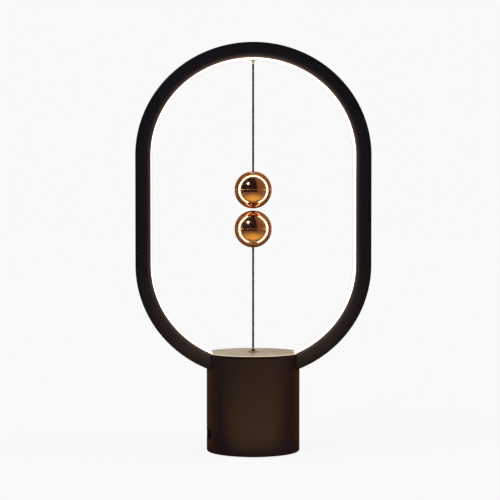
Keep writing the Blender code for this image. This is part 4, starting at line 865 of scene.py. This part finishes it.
def braid(name, low, high):
    """A grid rolled into a tube, with the strands raised out of it."""
    sizes = bpy.context.scene.lamp_sizes
    length = high.z - low.z
    start_piece()
    bpy.ops.mesh.primitive_grid_add(x_subdivisions=STRING_SIDES, y_subdivisions=int(length / STRING_ROW), size=1.0)
    piece = named(name)
    inner = high.x - sizes.braid_depth
    tops = []
    for point in piece.data.vertices:
        share, along = point.co.x + 0.5, point.co.y + 0.5
        z = low.z + along * length
        rise, over = braid_height(share * STRANDS, (z - low.z) / sizes.braid_pitch * STRANDS)
        tops.append(float(over))
        angle = share * tau
        radius = inner + sizes.braid_depth * rise
        point.co = (radius * cos(angle), radius * sin(angle), z)
    mark_points(piece, "strand", tops)
    edit_all()
    bpy.ops.mesh.remove_doubles(threshold=0.003 * MM)
    return close_loops(piece, False)


def mark_points(piece, name, values):
    """Gives each point a value that a finish can read."""
    piece.data.attributes.new(name, "FLOAT", "POINT").data.foreach_set("value", values)


class BALANCE_LAMP_OT_ring_halves(bpy.types.Operator):
    """Make the two halves of the tall ring"""

    bl_idname = "balance_lamp.ring_halves"
    bl_label = "Ring halves"

    def execute(self, context):
        finish = ring_moulding()
        for name, side in (("ring_front", -1), ("ring_rear", 1)):
            piece = ring_piece(name, ring_half_outline(side))
            add_ring_bosses(piece, side)
            mark_points(piece, "depth", [ring_depth(point.co) for point in piece.data.vertices])
            hand_over(piece, "base", [f"{name}_shell"], finish, 32.0)
        return {"FINISHED"}


def ring_depth(place):
    """How far a place lies from the ring's outer face to its inner face, from 0 to 1."""
    past = max(place.z - RING_UPPER_Z, RING_LOWER_Z - place.z, 0.0)
    share = hypot(place.x / RING_HIGH.x, past / RING_ARC_RISE)
    return (1.0 - share) * (RING_HIGH.x + RING_ARC_RISE) / 2 / RING_THICKNESS


def ring_half_outline(side):
    """A ring half's section, from the seam over the outer face to the inner face and its ledge."""
    sizes = bpy.context.scene.lamp_sizes
    outer, inner = sizes.ring_outer_round, sizes.ring_inner_round
    front, shelf, seam = RING_FRONT, RING_FRONT - RING_WALL, SEAM / 2
    ledge_in = RING_THICKNESS - LEDGE_DEPTH
    ledge_out = ledge_in - LEDGE_THICKNESS
    outline = [(RING_LIP, seam), (0.04 * MM, seam + 0.04 * MM), (0.0, seam + RING_LIP)]
    outline += rounded((outer, front - outer), outer, 180, 90, 7)
    outline += rounded((RING_THICKNESS - inner * INNER_STRETCH, front - inner), inner, 90, 0, 12, INNER_STRETCH)
    outline += [(RING_THICKNESS, shelf + 0.06 * MM), (RING_THICKNESS - 0.06 * MM, shelf), (ledge_in, shelf)]
    outline += [(ledge_in, shelf - LEDGE_WIDTH), (ledge_out, shelf - LEDGE_WIDTH), (ledge_out, shelf)]
    outline += [(RING_WALL, shelf), (RING_WALL, seam)]
    return [(depth, side * y) for depth, y in outline]


def add_ring_bosses(piece, side):
    """The screw bosses and holes in the part of the ring that the base hides."""
    x, y = RING_SCREW_X, -RING_SCREW_Y * side
    low_z, under = RING_LOW.z + BOSS_RISE, RING_LOW.z - MM
    low_y, high_y = sorted((y - side * BOSS_HALF, side * (RING_FRONT - RING_WALL + OVERLAP)))
    for across in (-x, x):
        corner = (across + BOSS_HALF, high_y, low_z + BOSS_HEIGHT)
        carve(piece, brick((across - BOSS_HALF, low_y, low_z), corner, BOSS_EDGE), operation="UNION")
        carve(piece, peg(SCREW_HOLE, (across, y), under, low_z + BOSS_HOLE, 20))
    carve(piece, peg(BORE, (0, 0), under, DISC_HIGH.z))
    for across in (-WIRE_HOLE_X, WIRE_HOLE_X):
        carve(piece, peg(WIRE_HOLE, (across, 0), under, RING_LOW.z + RING_THICKNESS))


class BALANCE_LAMP_OT_lit_strip(bpy.types.Operator):
    """Make the lit strip on the ring's inner side"""

    bl_idname = "balance_lamp.lit_strip"
    bl_label = "Lit strip"

    def execute(self, context):
        outer, half, edge = RING_HIGH.x - STRIP_HIGH.x, STRIP_HIGH.y, STRIP_EDGE
        inner = outer + STRIP_THICKNESS
        outline = [(outer, -half), *rounded((inner - edge, edge - half), edge, -90, 0, 4)]
        outline += [*rounded((inner - edge, half - edge), edge, 0, 90, 4), (outer, half)]
        piece = ring_piece("ring_lit_strip", outline)
        edit_all()
        bpy.ops.mesh.bisect(plane_co=(0, 0, STRIP_LOW.z), plane_no=(0, 0, 1), use_fill=True, clear_inner=True)
        leave_edit()
        low, top, _ = turned_ends("cord_ferrule")
        carve(piece, peg(STRIP_NOTCH, (0, 0), low - MM, top))
        hand_over(piece, "base", ["ring_diffuser"], lit_strip())
        return {"FINISHED"}


class BALANCE_LAMP_OT_base_body(bpy.types.Operator):
    """Make the round base with its port, posts and notches"""

    bl_idname = "balance_lamp.base_body"
    bl_label = "Base body"

    def execute(self, context):
        foot, edge = context.scene.lamp_sizes.base_foot_round, 0.12 * MM
        low, top, _ = turned_ends("base_shell")
        shelf_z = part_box("ring_saddle")[0].z - GAP
        under, shelf = shelf_z - SHELF_HEIGHT, BASE_INNER - SHELF_WIDTH
        outline = [(BASE_INNER, top), *turned_side(BASE_RADIUS, top, edge, low, foot, (3, 8)), (BASE_INNER, low)]
        outline += [(BASE_INNER, under - SHELF_WIDTH), (shelf, under), (shelf, shelf_z), (BASE_INNER, shelf_z)]
        piece = turn_piece("base_body", outline, 160)
        add_base_posts(piece)
        carve(piece, ring_tool(), port_tool())
        soften_port(piece)
        hand_over(piece, "base", ["base_shell"], base_moulding(), 32.0)
        return {"FINISHED"}


def add_base_posts(piece):
    """The posts inside the base that the cover's screws go into, each held by a rib."""
    low, high, _ = turned_ends("ballast")
    for angle, place in POSTS:
        rib = brick((POST_ORBIT, -RIB_HALF, low), (BASE_INNER + OVERLAP, RIB_HALF, high))
        rib.rotation_euler = (0, 0, angle)
        carve(piece, peg(POST_RADIUS, place, low, high), rib, operation="UNION")
        carve(piece, peg(SCREW_HOLE, place, low - MM, high + MM, 20))


def soften_port(piece):
    """Rounds the outer edge of the port."""
    take_up(piece)
    bpy.ops.object.mode_set(mode="EDIT")
    bpy.ops.mesh.select_mode(type="EDGE")
    bpy.ops.mesh.select_all(action="DESELECT")
    mesh = bmesh.from_edit_mesh(piece.data)
    half_z, half_y = PORT_HEIGHT / 2 + 0.05 * MM, PORT_WIDTH / 2 + 0.05 * MM
    turn_x, turn_y = cos(PORT_TURN), sin(PORT_TURN)
    for edge in mesh.edges:
        near = all(
            abs(p.co.xy.length - BASE_RADIUS) < 0.03 * MM
            and p.co.x < 0
            and abs(p.co.z - PORT_Z) < half_z
            and abs(p.co.y * turn_x - p.co.x * turn_y) < half_y
            for p in edge.verts
        )
        if near and len(edge.link_faces) == 2 and edge.calc_face_angle(0.0) > radians(40.0):
            edge.select = True
    bmesh.update_edit_mesh(piece.data)
    bpy.ops.mesh.bevel(offset=PORT_EDGE, segments=3, affect="EDGES")
    leave_edit()


class BALANCE_LAMP_OT_top_plate(bpy.types.Operator):
    """Make the flat plate on the base"""

    bl_idname = "balance_lamp.top_plate"
    bl_label = "Top plate"

    def execute(self, context):
        edge, small = context.scene.lamp_sizes.disc_edge, SMALL_EDGE
        hole = BORE + EYE_WALL + GAP
        top, low = DISC_HIGH.z, DISC_LOW.z
        under = top - DISC_THICKNESS
        skirt = BASE_INNER - GAP
        inner_skirt = skirt - SKIRT_THICKNESS
        outline = [(hole, top - small), (hole + small, top)]
        outline += turned_side(BASE_RADIUS, top, edge, under, small, (6, 2))
        outline += [(skirt, under), (skirt, low), (inner_skirt, low), (inner_skirt, under), (hole, under)]
        piece = turn_piece("top_plate", outline, 160)
        carve(piece, ring_tool())
        hand_over(piece, "base", ["top_disc"], plate_finish(), 32.0)
        return {"FINISHED"}


class BALANCE_LAMP_OT_fittings(bpy.types.Operator):
    """Make the eyelet, the ferrule and the beads that the strings turn on"""

    bl_idname = "balance_lamp.fittings"
    bl_label = "String fittings"

    def execute(self, context):
        eyelet = turn_piece("string_eyelet", eyelet_outline(), 64)
        hand_over(eyelet, "base", ["cord_eyelet"], small_finish("tan moulding"))
        ferrule = turn_piece("string_ferrule", ferrule_outline(), 64)
        hand_over(ferrule, "base", ["cord_ferrule"], small_finish("white moulding"))
        for end, kind in (("upper", "aged brass"), ("lower", "darkened brass")):
            node = f"{end}_pivot_bead"
            low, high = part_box(node)
            centre, radius = (low.z + high.z) / 2, (high.z - low.z) / 2
            pole = degrees(acos(BEAD_BORE / radius))
            outline = [(r, centre + z) for r, z in rounded((0, 0), radius, pole, -pole, 16)]
            hand_over(turn_piece(f"{end}_bead", outline, 40), f"{end}_pivot", [node], small_finish(kind))
        return {"FINISHED"}


def eyelet_outline():
    """The eyelet's section. Its mouth flares, so that the string can lean over its edge."""
    low, top, flange = turned_ends("cord_eyelet")
    edge, under, mouth = 0.06 * MM, top - 0.5 * MM, flange - 0.22 * MM
    sleeve = BORE + EYE_WALL
    wide_sleeve = sleeve + 0.22 * MM
    outline = [(BORE, low), (BORE, top - 1.7 * MM), (mouth, top - edge), (mouth + edge, top)]
    outline += [(flange - edge, top), (flange, top - edge), (flange, under), (wide_sleeve, under)]
    return outline + [(wide_sleeve, top - 1.2 * MM), (sleeve, top - 1.5 * MM), (sleeve, low)]


def ferrule_outline():
    """The ferrule's section: a sleeve over a rounded flange."""
    low, top, flange = turned_ends("cord_ferrule")
    sleeve, bore, edge, flange_top = 1.6 * MM, STRING_HOLE, 0.15 * MM, low + 0.5 * MM
    outline = [(bore, top), (sleeve - edge, top), (sleeve, top - edge), (sleeve, flange_top)]
    outline += turned_side(flange, flange_top, edge, low, edge)
    return outline + [(1.3 * MM, low), (bore, low + 0.55 * MM)]


class BALANCE_LAMP_OT_underside(bpy.types.Operator):
    """Make the bottom cover and the rubber foot ring"""

    bl_idname = "balance_lamp.underside"
    bl_label = "Underside"

    def execute(self, context):
        make_cover()
        make_foot_ring()
        return {"FINISHED"}


def make_cover():
    """The bottom cover, with a groove for the foot ring, a ring-shaped bead and three sunk screw holes."""
    low, top, radius = turned_ends("bottom_cover")
    _, foot_top, foot_radius = turned_ends("foot_ring")
    groove_out, groove_in, groove_z = foot_radius + GAP, foot_radius - FOOT_WIDTH - GAP, foot_top + GAP
    edge, bead_z = 0.15 * MM, low + 0.2 * MM
    outline = [(COVER_HOLE, top), *turned_side(radius, top, edge, low, edge)]
    outline += [(groove_out, low), (groove_out, groove_z), (groove_in, groove_z), (groove_in, low)]
    outline += [(12.0 * MM, low), (11.85 * MM, bead_z), (10.9 * MM, bead_z), (10.75 * MM, low), (COVER_HOLE, low)]
    cover = turn_piece("bottom_cover_dressed", outline, ring=False)
    for _, place in POSTS:
        carve(cover, peg(SCREW_HOLE, place, low - MM, top + MM, 24))
        carve(cover, peg(SCREW_HEAD_HOLE, place, low - MM, low + SCREW_HEAD_DEPTH, 40))
    hand_over(cover, "base", ["bottom_cover"], small_finish("plain black"))


def make_foot_ring():
    """The foot ring, with two grooves in its underside."""
    low, top, outer = turned_ends("foot_ring")
    inner, edge, small = outer - FOOT_WIDTH, 0.3 * MM, SMALL_EDGE
    outline = [(inner + small, top), (outer - small, top), (outer, top - small)]
    outline += rounded((outer - edge, low + edge), edge, 0, -90, 4)
    for share in (0.66, 0.38):
        groove = inner + (outer - inner) * share
        for across, rise in ((0.12, 0.0), (0.06, 0.15), (-0.06, 0.15), (-0.12, 0.0)):
            outline.append((groove + across * MM, low + rise * MM))
    outline += [*rounded((inner + edge, low + edge), edge, -90, -180, 4), (inner, top - small)]
    ring = turn_piece("foot_ring_dressed", outline)
    hand_over(ring, "base", ["foot_ring"], small_finish("black rubber"))


class BALANCE_LAMP_OT_balls(bpy.types.Operator):
    """Make the four plated half balls"""

    bl_idname = "balance_lamp.balls"
    bl_label = "Balls"

    def execute(self, context):
        for ball, haze_from in (("upper_ball", 0.47), ("lower_ball", 0.42)):
            finish = copper_plating(f"{ball.replace('_', ' ')} plating", haze_from)
            for part, side in (("top", 1), ("bottom", -1)):
                node = f"{ball}_{part}_shell"
                piece = turn_piece(f"{ball}_{part}_half", half_ball_outline(node, side), 112)
                hand_over(piece, ball, [node], finish, 30.0)
        return {"FINISHED"}


def half_ball_outline(node, side):
    """A half ball's section, from the string's hole over the outside to the seam and back inside."""
    low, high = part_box(node)
    radius = high.x
    rim_z = (low.z if side > 0 else high.z) - side * SEAM / 2
    inner, seam, hole = radius - BALL_WALL, BALL_SEAM / 2, STRING_HOLE
    edge = bpy.context.scene.lamp_sizes.ball_seam
    start = degrees(acos((hole + STRING_HOLE_EDGE) / radius))
    end = degrees(asin((seam + edge) / radius))
    inner_start = degrees(asin(seam / inner))
    inner_end = degrees(acos(hole / inner))
    outline = [(hole, sqrt(radius**2 - hole**2) - STRING_HOLE_EDGE)]
    outline += rounded((0, 0), radius, start, end, 26)
    outline += rounded((radius - edge, seam + edge), edge, -18, -90, 5)
    outline += rounded((0, 0), inner, inner_start, inner_end, 14)
    return [(r, rim_z + side * z) for r, z in outline]


SCREWS = [
    f"{kind}_screw_{number}"
    for kind, count in (("board", 2), ("bracket", 2), ("cover", 3), ("ring", 4), ("switch", 2))
    for number in range(1, count + 1)
]
# The pieces inside: their finish, record slot, rounded edge and nodes
INNER_PIECES = (
    ("plain black", "dark_inner", 0.08 * MM, ("port_bezel", "usb_socket_tongue", "microswitch_body", "ring_saddle")),
    ("plain black", "dark_inner", 0.10 * MM, ("driver_chip",)),
    ("turned steel", "steel", 0.06 * MM, ("usb_socket_shell",)),
    ("turned steel", "steel", 0.05 * MM, SCREWS),
    ("turned steel", "steel", 0.0, ("return_spring",)),
    ("nickel plating", "steel", 0.10 * MM, ("capacitor",)),
    ("nickel plating", "magnet", 0.05 * MM, ("upper_ball_magnet", "lower_ball_magnet")),
    ("turned brass", "brass", 0.04 * MM, ("switch_terminal_1", "switch_terminal_2")),
    ("cast iron", "iron", 0.12 * MM, ("ballast", "inductor")),
    ("circuit", "board", 0.05 * MM, ("circuit_board",)),
    ("white moulding", "white_plastic", 0.06 * MM, (
        "draw_rod", "switch_button", "switch_bracket", "upper_ball_core", "lower_ball_core",
    )),
    ("white moulding", "white_plastic", 0.0, ("led_strip_left", "led_strip_right")),
    ("red insulation", "red_wire", 0.0, ("led_wire_red", "switch_wire_1")),
    ("black insulation", "black_wire", 0.0, ("led_wire_black", "switch_wire_2")),
    ("black insulation", "cord", 0.0, ("upper_ball_knot", "lower_ball_knot", "upper_cord_end")),
)


class BALANCE_LAMP_OT_inner_works(bpy.types.Operator):
    """Dress the pieces inside the base, the ring and the balls"""

    bl_idname = "balance_lamp.inner_works"
    bl_label = "Inner works"

    def execute(self, context):
        bodies = frame["record"]["behaviour"]["bodies"]
        body_of = {node: body for body, nodes in bodies.items() for node in nodes}
        for kind, slot, edge, nodes in INNER_PIECES:
            finish = circuit_finish() if kind == "circuit" else small_finish(kind)
            for node in nodes:
                hand_over(merged_copy(node, edge), body_of[node], [node], finish, 40.0)
        return {"FINISHED"}


class BALANCE_LAMP_PT_sidebar(bpy.types.Panel):
    """The lamp's sizes and colours, and a button for each piece"""

    bl_label = "Balance Lamp"
    bl_idname = "BALANCE_LAMP_PT_sidebar"
    bl_space_type = "VIEW_3D"
    bl_region_type = "UI"
    bl_category = "Balance Lamp"

    def draw(self, context):
        for group in (context.scene.lamp_sizes, context.scene.lamp_colours):
            box = self.layout.box()
            for name in group.bl_rna.properties.keys():
                if name not in {"rna_type", "name"}:
                    box.prop(group, name)
        for operator in OPERATORS:
            self.layout.operator(operator.bl_idname)


OPERATORS = (
    BALANCE_LAMP_OT_stage,
    BALANCE_LAMP_OT_strings,
    BALANCE_LAMP_OT_ring_halves,
    BALANCE_LAMP_OT_lit_strip,
    BALANCE_LAMP_OT_base_body,
    BALANCE_LAMP_OT_top_plate,
    BALANCE_LAMP_OT_fittings,
    BALANCE_LAMP_OT_underside,
    BALANCE_LAMP_OT_balls,
    BALANCE_LAMP_OT_inner_works,
)
CLASSES = (LampSizes, LampColours, *OPERATORS, BALANCE_LAMP_PT_sidebar)


def register():
    for one in CLASSES:
        bpy.utils.register_class(one)
    bpy.types.Scene.lamp_sizes = bpy.props.PointerProperty(type=LampSizes)
    bpy.types.Scene.lamp_colours = bpy.props.PointerProperty(type=LampColours)


def unregister():
    del bpy.types.Scene.lamp_colours
    del bpy.types.Scene.lamp_sizes
    for one in reversed(CLASSES):
        bpy.utils.unregister_class(one)


def dress_lamp():
    register()
    bpy.context.scene.view_settings.view_transform = "Standard"
    bpy.ops.balance_lamp.stage()
    bpy.ops.balance_lamp.strings()
    bpy.ops.balance_lamp.ring_halves()
    bpy.ops.balance_lamp.lit_strip()
    bpy.ops.balance_lamp.base_body()
    bpy.ops.balance_lamp.top_plate()
    bpy.ops.balance_lamp.fittings()
    bpy.ops.balance_lamp.underside()
    bpy.ops.balance_lamp.balls()
    bpy.ops.balance_lamp.inner_works()
    start_piece()


if __name__ == "__main__":
    dress_lamp()
